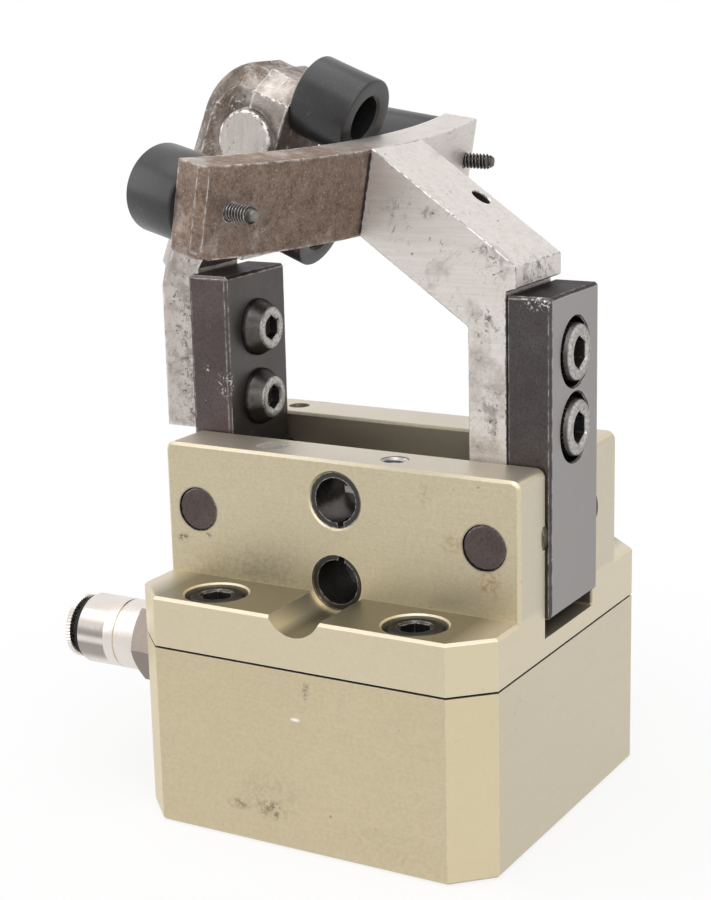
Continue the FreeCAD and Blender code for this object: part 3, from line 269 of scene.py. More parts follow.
# Scratches of the bare steel: turn in degrees, stretch, tint
STEEL_SCRATCHES = (
    ((0, 8, 0), (0.12, 1.0, 1.3), (0.8, 0.78, 0.76, 1)),
    ((0, -25, 15), (1.1, 0.9, 0.16), (0.17, 0.145, 0.13, 1)),
    ((20, 50, 0), (0.14, 1.2, 1.2), (0.22, 0.19, 0.17, 1)),
)
GOUGES = (((35, 10, 20), (0.35, 1.0, 1.0)), ((10, -40, 30), (1.0, 0.8, 0.3)))


def scaled(color, factor):
    """A colour with its brightness times a factor."""
    return tuple(min(1.0, c * factor) for c in color[:3]) + (1,)


def ringed(tree, point, color, rings):
    """A colour with rings about axes along Y, given as X, Z, inner and outer radius, and tint."""
    for x, z, inner, outer, tint in rings:
        color = mix(tree, around_axis(tree, point, x, z, inner, outer), color, tint)
    return color


def marked(tree, point, color, marks):
    """A colour with marks, and places of painted shade, given as centre, reach, tint and strength, broken up
    below full strength.
    """
    for centre, reach, tint, strength in marks:
        here = spot(tree, point, centre, reach)
        if strength < 1:
            broken = remap(tree, noise(tree, point, 1.1, 5.0, 0.75), 0.45, 0.6, 0.0, strength)
            here = times(tree, here, broken)
        color = mix(tree, here, color, tint)
    return color


def slot_and_ledge_shaded(tree, point, color, cloud):
    """The guide's paler flange, with painted shade in the slot between the walls, darker towards its bottom,
    and a painted dark reflection on the flange's top between the walls.
    """
    along = calc(tree, "ABSOLUTE", coordinate(tree, point, 0))
    across = calc(tree, "ABSOLUTE", coordinate(tree, point, 1))
    level = coordinate(tree, point, 2)
    flange = remap(tree, level, FLANGE_TOP_Z + 0.4, FLANGE_TOP_Z - 0.4, 0.0, 0.45)
    color = mix(tree, flange, color, FLANGE_TINT)
    # Painted shade: the slot's inner faces painted darker, most towards its bottom
    inside = times(tree, remap(tree, across, 10.4, 10.1), remap(tree, level, 36.3, 36.6))
    slot_shade_share = times(tree, inside, remap(tree, cloud, 0.3, 0.6, 0.75, 0.95))
    slot_shade_tint = mix(tree, remap(tree, level, FLANGE_TOP_Z, 56.0), DEEP_SLOT_SHADE, HIGH_SLOT_SHADE)
    color = mix(tree, slot_shade_share, color, slot_shade_tint)
    # Painted reflection: the flange's upward top between the walls painted dark
    ledge = times(tree, remap(tree, facing(tree, 2), 0.8, 0.95), remap(tree, level, 43.0, 42.5))
    ledge_reflection = times(tree, ledge, remap(tree, along, 33.0, 28.0, 0.0, 0.85))
    return mix(tree, ledge_reflection, color, LEDGE_PAINTED_REFLECTION)


def off_joint(tree, point):
    """Nothing along the joint lines between walls and flange, and one elsewhere."""
    away = calc(tree, "ABSOLUTE", calc(tree, "SUBTRACT", coordinate(tree, point, 2), FLANGE_TOP_Z))
    across = calc(tree, "ABSOLUTE", coordinate(tree, point, 1))
    return calc(tree, "MAXIMUM", remap(tree, away, 0.5, 0.9), remap(tree, across, 20.9, 21.3))


def anodised(name, low, high, grainy, marks, rings=(), slotted=False):
    """Satin hard-anodised aluminium: fine level tool lines, cloudy tint, pale edges and a few marks.

    The tint clouds between low and high, under a share of fine grain. Upward, right and half-turned faces
    get painted highlights. With a slot, its inner faces get painted shade and the flange's top a painted
    dark reflection. Marks may include painted shade.
    """
    material, tree = new_material(name)
    point = place_mm(tree)
    lines = noise(tree, stretch(tree, point, (0.06, 0.06, 5.0)), 1.0, 5.0, 0.65)
    cross = noise(tree, stretch(tree, point, (2.2, 2.2, 0.05)), 1.0, 3.0)
    cloud = noise(tree, point, 0.035, 4.0)
    grain = noise(tree, point, 5.0, 2.0)
    mottle = noise(tree, point, 1.5, 4.0, 0.7)
    color = mix(tree, cloud, low, high)
    color = mix(tree, remap(tree, lines, 0.3, 0.7, 0.0, 0.22), color, TOOL_LINE)
    color = mix(tree, remap(tree, cross, 0.62, 0.8, 0.0, 0.16), color, CROSS_LINE)
    color = mix(tree, remap(tree, mottle, 0.42, 0.62, 0.0, 0.22), color, MOTTLE)
    color = mix(tree, remap(tree, grain, 0.38, 0.62, 0.0, grainy), color, GRAIN)
    # Painted highlights: upward and right faces painted lighter
    for axis, start, tint in ((2, 0.5, UPWARD_PAINTED_HIGHLIGHT), (0, 0.72, RIGHT_PAINTED_HIGHLIGHT)):
        color = mix(tree, remap(tree, facing(tree, axis), start, 1.0, 0.0, 0.6), color, tint)
    # Painted light: faces half turned along X painted lighter
    sideways = calc(tree, "ABSOLUTE", facing(tree, 0))
    half_turned_light = times(tree, remap(tree, sideways, 0.5, 0.65, 0.0, 0.7), remap(tree, sideways, 0.85, 0.75))
    color = mix(tree, half_turned_light, color, HALF_TURNED_PAINTED_LIGHT)
    specks = remap(tree, cells(tree, warp(tree, point, 0.6, 1.2), 0.33), 0.1, 0.05, 0.0, 0.7)
    scarce = remap(tree, noise(tree, point, 0.11, 2.0), 0.54, 0.66)
    color = mix(tree, times(tree, specks, scarce), color, DARK_SPECK)
    color = marked(tree, point, color, marks)
    color = ringed(tree, point, color, rings)
    wear = edge_wear(tree, point, 0.35)
    if slotted:
        color = slot_and_ledge_shaded(tree, point, color, cloud)
        wear = times(tree, wear, off_joint(tree, point))
    color = mix(tree, times(tree, wear, 0.75), color, RUBBED_ANODISED)
    rough = remap(tree, lines, 0.2, 0.8, 0.36, 0.5)
    height = calc(tree, "ADD", times(tree, lines, 0.6), times(tree, grain, 0.4))
    surface(tree, color, rough, 0.88, height, 0.012)
    return material


def black_oxide(name, body, sheen, edge_mm, edge_grain=0.6, rough=(0.3, 0.46), side=None, rubbed_x=None,
                crests=None, flaked=()):
    """Blackened steel: warm dark grey with a cloudy bloom, bright where edges have rubbed.

    A side lit or shaded by painted light is given as axis, facing where its tone starts, facing where it is
    full, and tone. Screws may have a rubbed end face at an X, and threads a tone for their crests, partly
    worn oxide and partly a painted highlight. Places where it has flaked off are given as centre and reach.
    """
    material, tree = new_material(name)
    point = place_mm(tree)
    cloud = noise(tree, point, 0.12, 5.0, 0.6)
    grain = noise(tree, point, 6.0, 2.0)
    color = mix(tree, remap(tree, cloud, 0.35, 0.68), body, sheen)
    dull = remap(tree, noise(tree, point, 2.6, 4.0, 0.7), 0.46, 0.66, 0.0, 0.6)
    color = mix(tree, dull, color, scaled(body, 0.55))
    if side:
        # Painted light: faces turned one way painted lighter or darker
        axis, start, full, tone = side
        color = mix(tree, remap(tree, facing(tree, axis), start, full), color, tone)
    if rubbed_x:
        off_end = calc(tree, "ABSOLUTE", calc(tree, "SUBTRACT", coordinate(tree, point, 0), rubbed_x))
        patchy = remap(tree, noise(tree, point, 1.6, 5.0, 0.7), 0.36, 0.58, 0.35, 1.0)
        bright = times(tree, remap(tree, off_end, 0.35, 0.12), patchy)
        color = mix(tree, bright, color, OXIDE_END)
    if crests:
        # Thread crests lighter than their roots: partly worn oxide, partly painted highlight
        convex = add(tree, "ShaderNodeNewGeometry").outputs["Pointiness"]
        color = mix(tree, remap(tree, convex, 0.53, 0.62), color, crests)
    lines = scratches(tree, slanted(tree, point, (0, 12, 0)), (0.9, 0.9, 0.1), 1.4, 0.006)
    few = remap(tree, noise(tree, point, 0.2, 2.0), 0.56, 0.7, 0.0, 0.5)
    color = mix(tree, times(tree, lines, few), color, OXIDE_SCRATCH)
    chips = remap(tree, cells(tree, warp(tree, point, 0.8, 1.0), 0.55), 0.09, 0.04)
    chipped = remap(tree, noise(tree, point, 0.14, 2.0), 0.55, 0.64)
    color = mix(tree, times(tree, chips, chipped), color, OXIDE_CHIP)
    if flaked:
        flecks = remap(tree, noise(tree, point, 2.0, 4.0, 0.7), 0.56, 0.61)
        color = mix(tree, times(tree, flecks, any_spot(tree, point, flaked)), color, OXIDE_FLAKE)
    wear = edge_wear(tree, point, edge_mm, edge_grain)
    color = mix(tree, wear, color, OXIDE_EDGE)
    surface(tree, color, remap(tree, cloud, 0.3, 0.7, *rough), 0.9, grain, 0.008,
            **{"Specular Tint": (0.4, 0.4, 0.4, 1)})
    return material


def tarnished(tree, point, color, clean, stained, brown, fine):
    """Steel under an uneven brown stain that lets bare specks through."""
    blotch = noise(tree, point, 0.42, 4.0, 0.6)
    uneven = calc(tree, "ADD", times(tree, fine, 0.65), times(tree, blotch, 0.35))
    speckled = mix(tree, remap(tree, uneven, 0.38, 0.62), scaled(stained, 0.58), scaled(stained, 1.45))
    bare_specks = remap(tree, noise(tree, point, 2.4, 3.0, 0.65), 0.62, 0.7, 0.0, 0.5)
    return mix(tree, brown, color, mix(tree, bare_specks, speckled, clean))


def scratched(tree, point, color):
    """Steel with a few bright and dark scratches."""
    for turn, factors, tint in STEEL_SCRATCHES:
        lines = scratches(tree, slanted(tree, point, turn), factors, 0.7, 0.008)
        few = remap(tree, noise(tree, slanted(tree, point, turn), 0.3, 2.0), 0.5, 0.62, 0.0, 0.7)
        color = mix(tree, times(tree, lines, few), color, tint)
    return color


def gouged(tree, point, color):
    """Steel with bright gouges on what stands above the finger's leg."""
    for turn, factors in GOUGES:
        lines = scratches(tree, slanted(tree, point, turn), factors, 0.5, 0.011)
        few = remap(tree, noise(tree, slanted(tree, point, turn), 0.22, 2.0), 0.5, 0.6, 0.0, 0.7)
        few = times(tree, few, remap(tree, coordinate(tree, point, 2), 106.0, 112.0))
        color = mix(tree, times(tree, lines, few), color, GOUGE)
    return color


def bare_steel(name, clean, stained, patina, streaks, pitted, rings=(), hammered=0.0, wear_mm=0.6,
               edge=BRIGHT_STEEL):
    """Bare worked steel: tool streaks, scratches, clusters of dark pits, brown stain and bright edges.

    The patina gives more or less stain by place, streaks are the stretch of the tool marks, and hammered is
    the share of hammer blows in the relief.
    """
    material, tree = new_material(name)
    point = place_mm(tree)
    drawn = noise(tree, stretch(tree, point, streaks), 1.0, 5.0, 0.65)
    cloud = noise(tree, point, 0.1, 5.0, 0.62)
    fine = noise(tree, point, 1.9, 5.0, 0.75)
    color = mix(tree, remap(tree, drawn, 0.3, 0.72), clean, scaled(clean, 0.84))
    brown = remap(tree, calc(tree, "ADD", cloud, patina(tree, point)), 0.48, 0.74)
    color = tarnished(tree, point, color, clean, stained, brown, fine)
    crowd = any_spot(tree, point, pitted)
    blots = calc(tree, "ADD", noise(tree, point, 1.0, 5.0, 0.72), times(tree, crowd, 0.12))
    pit = remap(tree, blots, 0.67, 0.73)
    stain = noise(tree, warp(tree, point, 0.5, 1.5), 0.42, 5.0, 0.7)
    stain = times(tree, remap(tree, stain, 0.5, 0.6, 0.0, 0.6), crowd)
    color = mix(tree, stain, color, PIT_STAIN)
    color = mix(tree, times(tree, pit, 0.72), color, PIT_FLOOR)
    color = scratched(tree, point, color)
    color = ringed(tree, point, color, rings)
    if hammered:
        color = gouged(tree, point, color)
    specks = remap(tree, cells(tree, warp(tree, point, 0.6, 1.2), 0.5), 0.15, 0.09, 0.0, 0.75)
    scarce = remap(tree, noise(tree, point, 0.16, 2.0), 0.46, 0.58)
    color = mix(tree, times(tree, specks, scarce), color, STEEL_SPECK)
    rub = add(tree, "ShaderNodeAttribute", attribute_name="rub").outputs["Fac"]
    patchy = noise(tree, point, 0.8, 5.0, 0.7)
    chipped = times(tree, rub, remap(tree, patchy, 0.52, 0.44, 0.0, 0.8))
    color = mix(tree, chipped, color, CHIPPED_EDGE)
    rubbed = times(tree, rub, remap(tree, patchy, 0.46, 0.58))
    wear = calc(tree, "MAXIMUM", edge_wear(tree, point, wear_mm, 0.7), rubbed)
    color = mix(tree, times(tree, wear, 0.85), color, edge)
    height = calc(tree, "SUBTRACT", times(tree, drawn, 0.3), times(tree, pit, 0.8))
    height = calc(tree, "ADD", height, times(tree, fine, 0.45))
    if hammered:
        blows = cells(tree, warp(tree, point, 0.25, 2.5), 0.34)
        height = calc(tree, "ADD", height, times(tree, blows, hammered))
    rough = remap(tree, calc(tree, "ADD", cloud, times(tree, brown, 0.5)), 0.3, 1.0, 0.4, 0.62)
    surface(tree, color, rough, 0.85, height, 0.06)
    return material


def even_patina(amount):
    """The same share of stain all over, a little less towards the back of the part."""
    return lambda tree, point: remap(tree, coordinate(tree, point, 1), 10.0, -10.0, amount - 0.02, amount)


def arm_patina(tree, point):
    """The arm is nearly clean, and a little stained down its leg."""
    return remap(tree, coordinate(tree, point, 2), 82.0, 98.0, 0.03, -0.1)


def bar_patina(tree, point):
    """The curved bar is stained brown to the front of its middle, bright at both of its ends, and less
    stained on its upward faces.
    """
    along = coordinate(tree, point, 1)
    bright_end = remap(tree, along, -43.5, -46.0, 0.0, 0.07)
    # Less stain on upward faces, chosen by their facing
    upward_less_stained = remap(tree, facing(tree, 2), 0.7, 0.95, 0.0, 0.12)
    bare = calc(tree, "ADD", bright_end, upward_less_stained)
    return calc(tree, "SUBTRACT", remap(tree, along, 2.0, -11.0, -0.3, 0.34), bare)


def head_patina(tree, point):
    """The left finger is stained round its head and nearly clean down its leg."""
    return remap(tree, coordinate(tree, point, 2), 100.0, 111.0, -0.06, 0.17)


def elastomer(name):
    """Charcoal moulding with a soft sheen, a faint grain and dusty rubbed places."""
    material, tree = new_material(name)
    point = place_mm(tree)
    cloud = noise(tree, point, 0.16, 4.0, 0.6)
    grain = noise(tree, point, 3.2, 4.0, 0.65)
    color = mix(tree, cloud, (0.009, 0.0088, 0.0092, 1), (0.026, 0.0252, 0.026, 1))
    dust = remap(tree, grain, 0.58, 0.76, 0.0, 0.28)
    color = mix(tree, dust, color, (0.16, 0.155, 0.15, 1))
    lines = scratches(tree, slanted(tree, point, (30, 20, 40)), (0.2, 1.1, 1.1), 0.8, 0.007)
    few = remap(tree, noise(tree, point, 0.3, 2.0), 0.52, 0.66, 0.0, 0.5)
    color = mix(tree, times(tree, lines, few), color, (0.2, 0.195, 0.19, 1))
    wear = edge_wear(tree, point, 0.4, 0.8)
    color = mix(tree, times(tree, wear, 0.5), color, (0.22, 0.215, 0.21, 1))
    surface(tree, color, remap(tree, cloud, 0.3, 0.7, 0.27, 0.36), 0.0, grain, 0.012)
    return material


def polished(name, tint, dark, rough, bands=(), lines=(6.0, 0.25, 0.25), metallic=1.0):
    """Plated or turned bright metal with faint turning lines and a little haze, darker in bands of X.

    A band paints reflection and shade, and is given as its two ends, its shade, the facing along Y where it
    starts and is full, and the upward facing where it starts and ends.
    """
    material, tree = new_material(name)
    point = place_mm(tree)
    rings = noise(tree, stretch(tree, point, lines), 1.0, 3.0)
    cloud = noise(tree, point, 0.2, 4.0)
    color = mix(tree, remap(tree, cloud, 0.4, 0.75, 0.0, 0.5), tint, dark)
    # Painted reflection and shade in bands along X
    for low, high, shade, front, (near, far) in bands:
        along = coordinate(tree, point, 0)
        inside = times(tree, remap(tree, along, low, low + 0.1), remap(tree, along, high, high - 0.1))
        upward = calc(tree, "ABSOLUTE", facing(tree, 2))
        strip = times(tree, remap(tree, upward, near, near + 0.1), remap(tree, upward, far, far - 0.25))
        shown = times(tree, times(tree, inside, strip), remap(tree, facing(tree, 1), *front))
        color = mix(tree, shown, color, shade)
    wear = edge_wear(tree, point, 0.25, 1.2)
    color = mix(tree, times(tree, wear, 0.4), color, (0.93, 0.92, 0.9, 1))
    surface(tree, color, remap(tree, rings, 0.3, 0.7, rough * 0.8, rough * 1.5), metallic, rings, 0.004)
    return material


def soft_black(name, color, rough):
    """Seals, gasket, plastic rings and the painted shadow of the arm's joint and hole: near black with a
    dull uneven skin.
    """
    material, tree = new_material(name)
    point = place_mm(tree)
    skin = noise(tree, point, 2.4, 4.0)
    tint = mix(tree, remap(tree, skin, 0.4, 0.75, 0.0, 0.6), color, scaled(color, 2.2))
    surface(tree, tint, remap(tree, skin, 0.3, 0.7, rough, rough + 0.15), 0.0, skin, 0.01,
            **{"Specular IOR Level": 0.2})
    return material


BLOCK_MARKS = [
    ((-5.4, -35.0, 6.6), (3.6, 2.0, 2.4), (0.17, 0.13, 0.08, 1), 0.85),
    ((-12.3, -35.0, 6.4), (3.0, 2.0, 1.2), (0.2, 0.155, 0.095, 1), 0.7),
    ((-6.0, -35.0, 9.5), (9.0, 2.0, 5.0), (0.36, 0.3, 0.2, 1), 0.35),
    ((2.2, -35.0, 29.6), (0.9, 2.0, 2.2), (0.16, 0.12, 0.08, 1), 0.8),
    ((16.0, -35.0, 5.0), (12.0, 3.0, 4.0), (0.4, 0.34, 0.23, 1), 0.2),
    ((-0.1, -35.0, 24.1), (1.2, 1.0, 0.42), (0.95, 0.94, 0.92, 1), 1.0),
]
GUIDE_MARKS_AND_SHADE = [
    ((29.4, -20.3, 48.0), (3.6, 2.0, 3.4), (0.4, 0.21, 0.09, 1), 0.6),
    ((22.6, -20.3, 54.0), (2.8, 2.0, 2.4), (0.4, 0.26, 0.13, 1), 0.6),
    ((-32.0, -20.3, 48.4), (1.5, 2.0, 1.2), (0.1, 0.08, 0.05, 1), 0.95),
    ((-26.3, -20.3, 49.6), (0.9, 2.0, 0.7), (0.12, 0.09, 0.06, 1), 0.9),
    ((17.6, -20.3, 62.0), (1.8, 2.0, 2.2), (0.33, 0.27, 0.17, 1), 0.6),
    ((-26.0, 20.0, 66.0), (3.6, 1.2, 1.0), (0.2, 0.17, 0.14, 1), 0.9),
    # Painted shade along the bottom of the front wall's left half, by the ledge
    ((-17.0, -20.3, 43.0), (17.0, 2.0, 8.0), (0.4, 0.34, 0.24, 1), 0.55),
]
PIN_SHADE = (0.055, 0.045, 0.035, 1)
PIN_RINGS = [(x, PIVOT_Z, PIN_RADIUS, PIN_RADIUS + 0.33, PIN_SHADE) for x in (-PIVOT_X, PIVOT_X)]
ARM_PITS = [
    ((24.4, -9.8, 89.6), (4.6, 4.0, 3.8)), ((25.8, -9.8, 99.2), (3.6, 3.0, 3.4)),
    ((23.8, -9.8, 101.8), (3.2, 3.0, 1.6)), ((7.2, -9.8, 108.0), (3.4, 3.0, 2.2)),
    ((13.2, -9.8, 107.5), (2.4, 3.0, 1.6)), ((29.3, -1.0, 97.5), (4.0, 11.0, 4.0)),
    ((24.6, -9.8, 74.0), (3.0, 3.0, 9.0)),
]
HEAD_PITS = [((-37.0, -6.0, 80.0), (9.0, 9.0, 32.0)), ((-26.0, -8.0, 124.0), (7.0, 6.0, 8.0))]
BAR_PITS = [((-2.0, -40.0, 110.0), (6.0, 12.0, 7.0))]
# Painted shadow: a dark ring round the cross pin on the head
CROSS_PIN_PAINTED_SHADOW = [(-23.44, 118.68, 5.5, 6.9, (0.1, 0.075, 0.06, 1))]
SCREW = ((0.085, 0.079, 0.075, 1), (0.15, 0.142, 0.136, 1))
block_finish = anodised("anodised_block", (0.618, 0.532, 0.353, 1), (0.683, 0.592, 0.402, 1), 0.14,
                        BLOCK_MARKS)
guide_finish = anodised("anodised_guide", (0.61, 0.535, 0.377, 1), (0.68, 0.6, 0.43, 1), 0.26,
                        GUIDE_MARKS_AND_SHADE, PIN_RINGS, slotted=True)
# Painted reflection: the jaws' faces towards +X painted lighter
right_jaw_finish = black_oxide("black_oxide_right_jaw", (0.076, 0.065, 0.065, 1), (0.106, 0.094, 0.094, 1),
                               0.4, side=(0, 0.7, 0.95, (0.41, 0.388, 0.382, 1)),
                               flaked=[((34.0, -10.0, 93.6), (4.5, 2.0, 1.6))])
left_jaw_finish = black_oxide("black_oxide_left_jaw", (0.105, 0.081, 0.081, 1), (0.142, 0.112, 0.112, 1),
                              0.5, side=(0, 0.7, 0.95, (0.125, 0.114, 0.111, 1)),
                              flaked=[((-28.2, -10.0, 75.0), (2.5, 2.4, 3.2)),
                                      ((-32.4, -10.0, 77.6), (0.8, 1.0, 0.8))])
screw_finish = black_oxide("black_oxide_screw", (0.058, 0.054, 0.051, 1), (0.105, 0.099, 0.095, 1), 0.4,
                           1.4)
right_screw_finish = black_oxide("rubbed_cap_screw", *SCREW, 0.5, 1.4, rubbed_x=RIGHT_SEAT_X + 5.9)
left_screw_finish = black_oxide("rubbed_button_screw", *SCREW, 0.45, 1.4, rubbed_x=LEFT_SEAT_X + 3.25)
pin_finish = black_oxide("black_oxide_pin", (0.1, 0.077, 0.073, 1), (0.132, 0.104, 0.099, 1), 0.25, 1.2)
# Painted shade: the sleeves' faces towards -Y painted darker
sleeve_finish = black_oxide("spring_steel", (0.115, 0.107, 0.101, 1), (0.185, 0.175, 0.166, 1), 0.3, 1.0,
                            (0.24, 0.4), side=(1, -0.7, -0.95, (0.062, 0.057, 0.053, 1)))
washer_finish = black_oxide("thrust_washer_steel", (0.15, 0.13, 0.1, 1), (0.22, 0.19, 0.15, 1), 0.2, 1.0)
arm_finish = bare_steel("machined_steel", (0.775, 0.725, 0.688, 1), (0.33, 0.285, 0.255, 1), arm_patina,
                        (0.1, 0.8, 2.0), ARM_PITS, edge=(0.82, 0.785, 0.755, 1))
bar_finish = bare_steel("stained_steel", (0.7, 0.645, 0.607, 1), (0.235, 0.171, 0.134, 1), bar_patina,
                        (0.8, 0.1, 2.0), BAR_PITS)
head_finish = bare_steel("hand_ground_steel", (0.575, 0.52, 0.485, 1), (0.152, 0.116, 0.093, 1),
                         head_patina, (0.5, 0.7, 0.16), HEAD_PITS, CROSS_PIN_PAINTED_SHADOW, hammered=1.6, wear_mm=0.9)
pin_end_finish = bare_steel("hammered_pin", (0.54, 0.49, 0.455, 1), (0.33, 0.28, 0.245, 1),
                            even_patina(-0.06), (1.2, 0.3, 0.25), BAR_PITS, hammered=1.0, wear_mm=0.3)
drive_finish = bare_steel("ground_steel", (0.42, 0.415, 0.41, 1), (0.2, 0.18, 0.16, 1), even_patina(-0.1),
                          (0.08, 0.9, 1.6), BAR_PITS)
# Thread crests painted lighter: partly worn oxide, partly painted highlight
stud_finish = black_oxide("thread_steel", (0.05, 0.045, 0.042, 1), (0.085, 0.078, 0.074, 1), 0.08, 2.0,
                          (0.26, 0.4), crests=(0.46, 0.43, 0.405, 1))
bumper_finish = elastomer("charcoal_elastomer")
# Painted reflection: a dark strip round the barrel's middle height; painted shade: the hexagon's front flats
# dark brown
nickel_finish = polished("bright_nickel", (0.8, 0.74, 0.69, 1), (0.68, 0.62, 0.58, 1), 0.22,
                         [(-56.4, -50.0, (0.36, 0.325, 0.3, 1), (0.2, -0.7), (0.04, 0.72)),
                          (-43.1, -35.9, (0.15, 0.115, 0.095, 1), (-0.7, -0.9), (-1.0, 2.0))])
chrome_finish = polished("hard_chrome", (0.8, 0.8, 0.82, 1), (0.66, 0.66, 0.68, 1), 0.12)
piston_finish = polished("turned_aluminium", (0.78, 0.78, 0.79, 1), (0.62, 0.62, 0.63, 1), 0.28)
bore_finish = polished("reamed_aluminium", (0.84, 0.82, 0.78, 1), (0.66, 0.63, 0.59, 1), 0.24,
                       lines=(0.25, 0.25, 6.0), metallic=0.62)
bronze_finish = polished("turned_bronze", (0.66, 0.47, 0.24, 1), (0.46, 0.31, 0.15, 1), 0.28)
rubber_finish = soft_black("seal_rubber", (0.012, 0.012, 0.012, 1), 0.55)
gasket_finish = soft_black("gasket", (0.006, 0.0055, 0.005, 1), 0.8)
plastic_finish = soft_black("ring_plastic", (0.01, 0.01, 0.01, 1), 0.35)
# Painted shadow: near black for the line along the arm's joint and inside the arm's hole
weld_shadow_finish = soft_black("weld_shadow", (0.022, 0.018, 0.015, 1), 0.6)

FINISHES = (
    (block_finish, ["cylinder_block"]),
    (guide_finish, ["guide_flange", "front_wall", "rear_wall"]),
    (gasket_finish, ["body_gasket"]),
    (washer_finish, ["thrust_washers"]),
    (sleeve_finish, ["upper_sleeves", "lower_sleeves"]),
    (screw_finish, ["pin_lock_screws"]),
    (bronze_finish, ["rod_bush", "right_jaw_bush", "left_jaw_bush"]),
    (rubber_finish, ["rod_seal", "spigot_ring", "piston_seal", "fitting_washer", "fitting_tube_seal"]),
    (plastic_finish, ["fitting_end_ring", "guide_ring"]),
    (piston_finish, ["piston"]),
    (chrome_finish, ["piston_rod"]),
    (drive_finish, ["piston_nut", "drive_block"]),
    (pin_finish, ["drive_pins"]),
    (right_jaw_finish, ["right_jaw"]),
    (left_jaw_finish, ["left_jaw"]),
)


def dress_solids():
    for finish, names in FINISHES:
        for name in names:
            mesh = NODES[name].data
            mesh.materials.clear()
            mesh.materials.append(finish)


# Detailed pieces in mesh code


def in_scene(name, data):
    made = bpy.data.objects.new(name, data)
    SCENE.collection.objects.link(made)
    return made


def piece(name, parts, body, finish, replaced=(), sharp=32):
    """One object from several (vertices, faces, place) parts given in millimetres."""
    build = bmesh.new()
    for points, faces, place in parts:
        made = [build.verts.new((place @ Vector(p)) * MM) for p in points]
        for face in faces:
            build.faces.new([made[i] for i in face])
    bmesh.ops.remove_doubles(build, verts=build.verts, dist=1e-7)
    bmesh.ops.dissolve_degenerate(build, edges=build.edges, dist=1e-7)
    bmesh.ops.recalc_face_normals(build, faces=build.faces)
    finish_piece(name, build, body, finish, replaced, sharp)


def finish_piece(name, build, body, finish, replaced, sharp):
    """Turns a built mesh into an object that rides a body and takes the place of its solids."""
    mesh = bpy.data.meshes.new(name)
    build.to_mesh(mesh)
    build.free()
    mesh.shade_smooth()
    mesh.set_sharp_from_angle(angle=radians(sharp))
    mesh.materials.append(finish)
    made = in_scene(name, mesh)
    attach(made, body)
    if replaced:
        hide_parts(*replaced)
    return made


def sharp_edges(build, least=25):
    return [e for e in build.edges if e.is_manifold and e.calc_face_angle() > radians(least)]


def divide(edge, step):
    """Cuts an edge into even lengths of about a step."""
    for count in range(max(1, round(edge.calc_length() / step)), 1, -1):
        bmesh.utils.edge_split(edge, edge.verts[0], 1.0 / count)


def worn(node, body, finish, width, uneven):
    """A solid with its edges rubbed over by a width, deeper in some places than in others."""
    step = 1.6
    patch = 2.3
    build = bmesh.new()
    build.from_mesh(NODES[node].data)
    bmesh.ops.remove_doubles(build, verts=build.verts, dist=1e-6)
    bmesh.ops.dissolve_limit(build, angle_limit=radians(0.5), verts=build.verts, edges=build.edges)
    for edge in sharp_edges(build):
        divide(edge, step * MM)
    rubbed = bmesh.ops.bevel(build, geom=sharp_edges(build), offset=width * MM, offset_type="OFFSET",
                             segments=2, profile=0.5, affect="EDGES", clamp_overlap=True)
    build.normal_update()
    strip = set(rubbed["faces"])
    for vert in rubbed["verts"]:
        if all(face in strip for face in vert.link_faces):
            depth = abs(unevenness(vert.co / (patch * MM)))
            vert.co -= vert.normal * depth * uneven * MM
    rub = build.loops.layers.float.new("rub")
    for face in strip:
        for loop in face.loops:
            loop[rub] = 1.0
    made = finish_piece(f"{node}_worn", build, body, finish, [node], 38)
    made.modifiers.new("flat_faces", "WEIGHTED_NORMAL").keep_sharp = True


def make_worn_steel():
    worn("right_finger", "right_jaw", arm_finish, 0.55, 0.35)
    worn("arc_bar", "right_jaw", bar_finish, 0.45, 0.4)
    worn("left_finger", "left_jaw", head_finish, 0.6, 0.6)
    worn("bumper_plate", "left_jaw", head_finish, 0.5, 0.4)
    worn("cross_pin", "left_jaw", pin_end_finish, 0.6, 0.4)


def hexagon(across):
    """The radius of a hexagon at an angle, from its size across the flats."""
    return lambda angle: across / 2 / cos(angle % (pi / 3) - pi / 6)


def clipped_hexagon(across, limit):
    """The same with its corners kept within a radius."""
    full = hexagon(across)
    return lambda angle: min(full(angle), limit)


def ribbed(radius, depth, count):
    """The radius at an angle of a round with even ribs."""
    return lambda angle: radius - depth * (0.5 - 0.5 * cos(count * angle))


def side_faces(rows, around):
    """Four-sided faces between rows of points that each go round once."""
    faces = []
    for row in range(rows - 1):
        for step in range(around):
            a = row * around + step
            b = row * around + (step + 1) % around
            faces.append((a, b, b + around, a + around))
    return faces


def spun(rings, segments):
    """A form turned about Z from rings of radius, or radius by angle, and height."""
    points = []
    for radius, height in rings:
        for step in range(segments):
            angle = 2 * pi * step / segments
            r = radius(angle) if callable(radius) else radius
            points.append((r * cos(angle), r * sin(angle), height))
    return points, side_faces(len(rings), segments)


def standing(origin, axis):
    """A place with its Z along an axis."""
    return Matrix.Translation(Vector(origin)) @ UP.rotation_difference(Vector(axis)).to_matrix().to_4x4()


def on_head(up, out=0.0):
    """A place on the ground head, with its Z along the bumpers."""
    return HEAD_FRAME @ Matrix.Translation((out, 0, up)) @ ALONG_X


def shank_rings(length, radius=2.97, end=2.5, broken=0.5):
    """Rings of a screw's shank below its head, from a broken end up to Z = 0."""
    return [(0, -length), (end, -length), (radius, -length + broken), (radius, 0)]


def cap_screw_form(shank):
    side = ribbed(5.0, 0.28, 36)
    key = hexagon(CAP_KEY)
    rings = shank_rings(shank) + [
        (4.8, 0), (4.98, 0.25), (side, 0.5), (side, 4.7), (4.98, 4.95), (4.9, 5.45), (4.65, 5.8),
        (4.25, 5.98), (4.0, 6.0), (3.05, 6.0), (key, 5.62), (key, 2.6), (1.6, 2.3), (0, 1.8)]
    return spun(rings, 72)


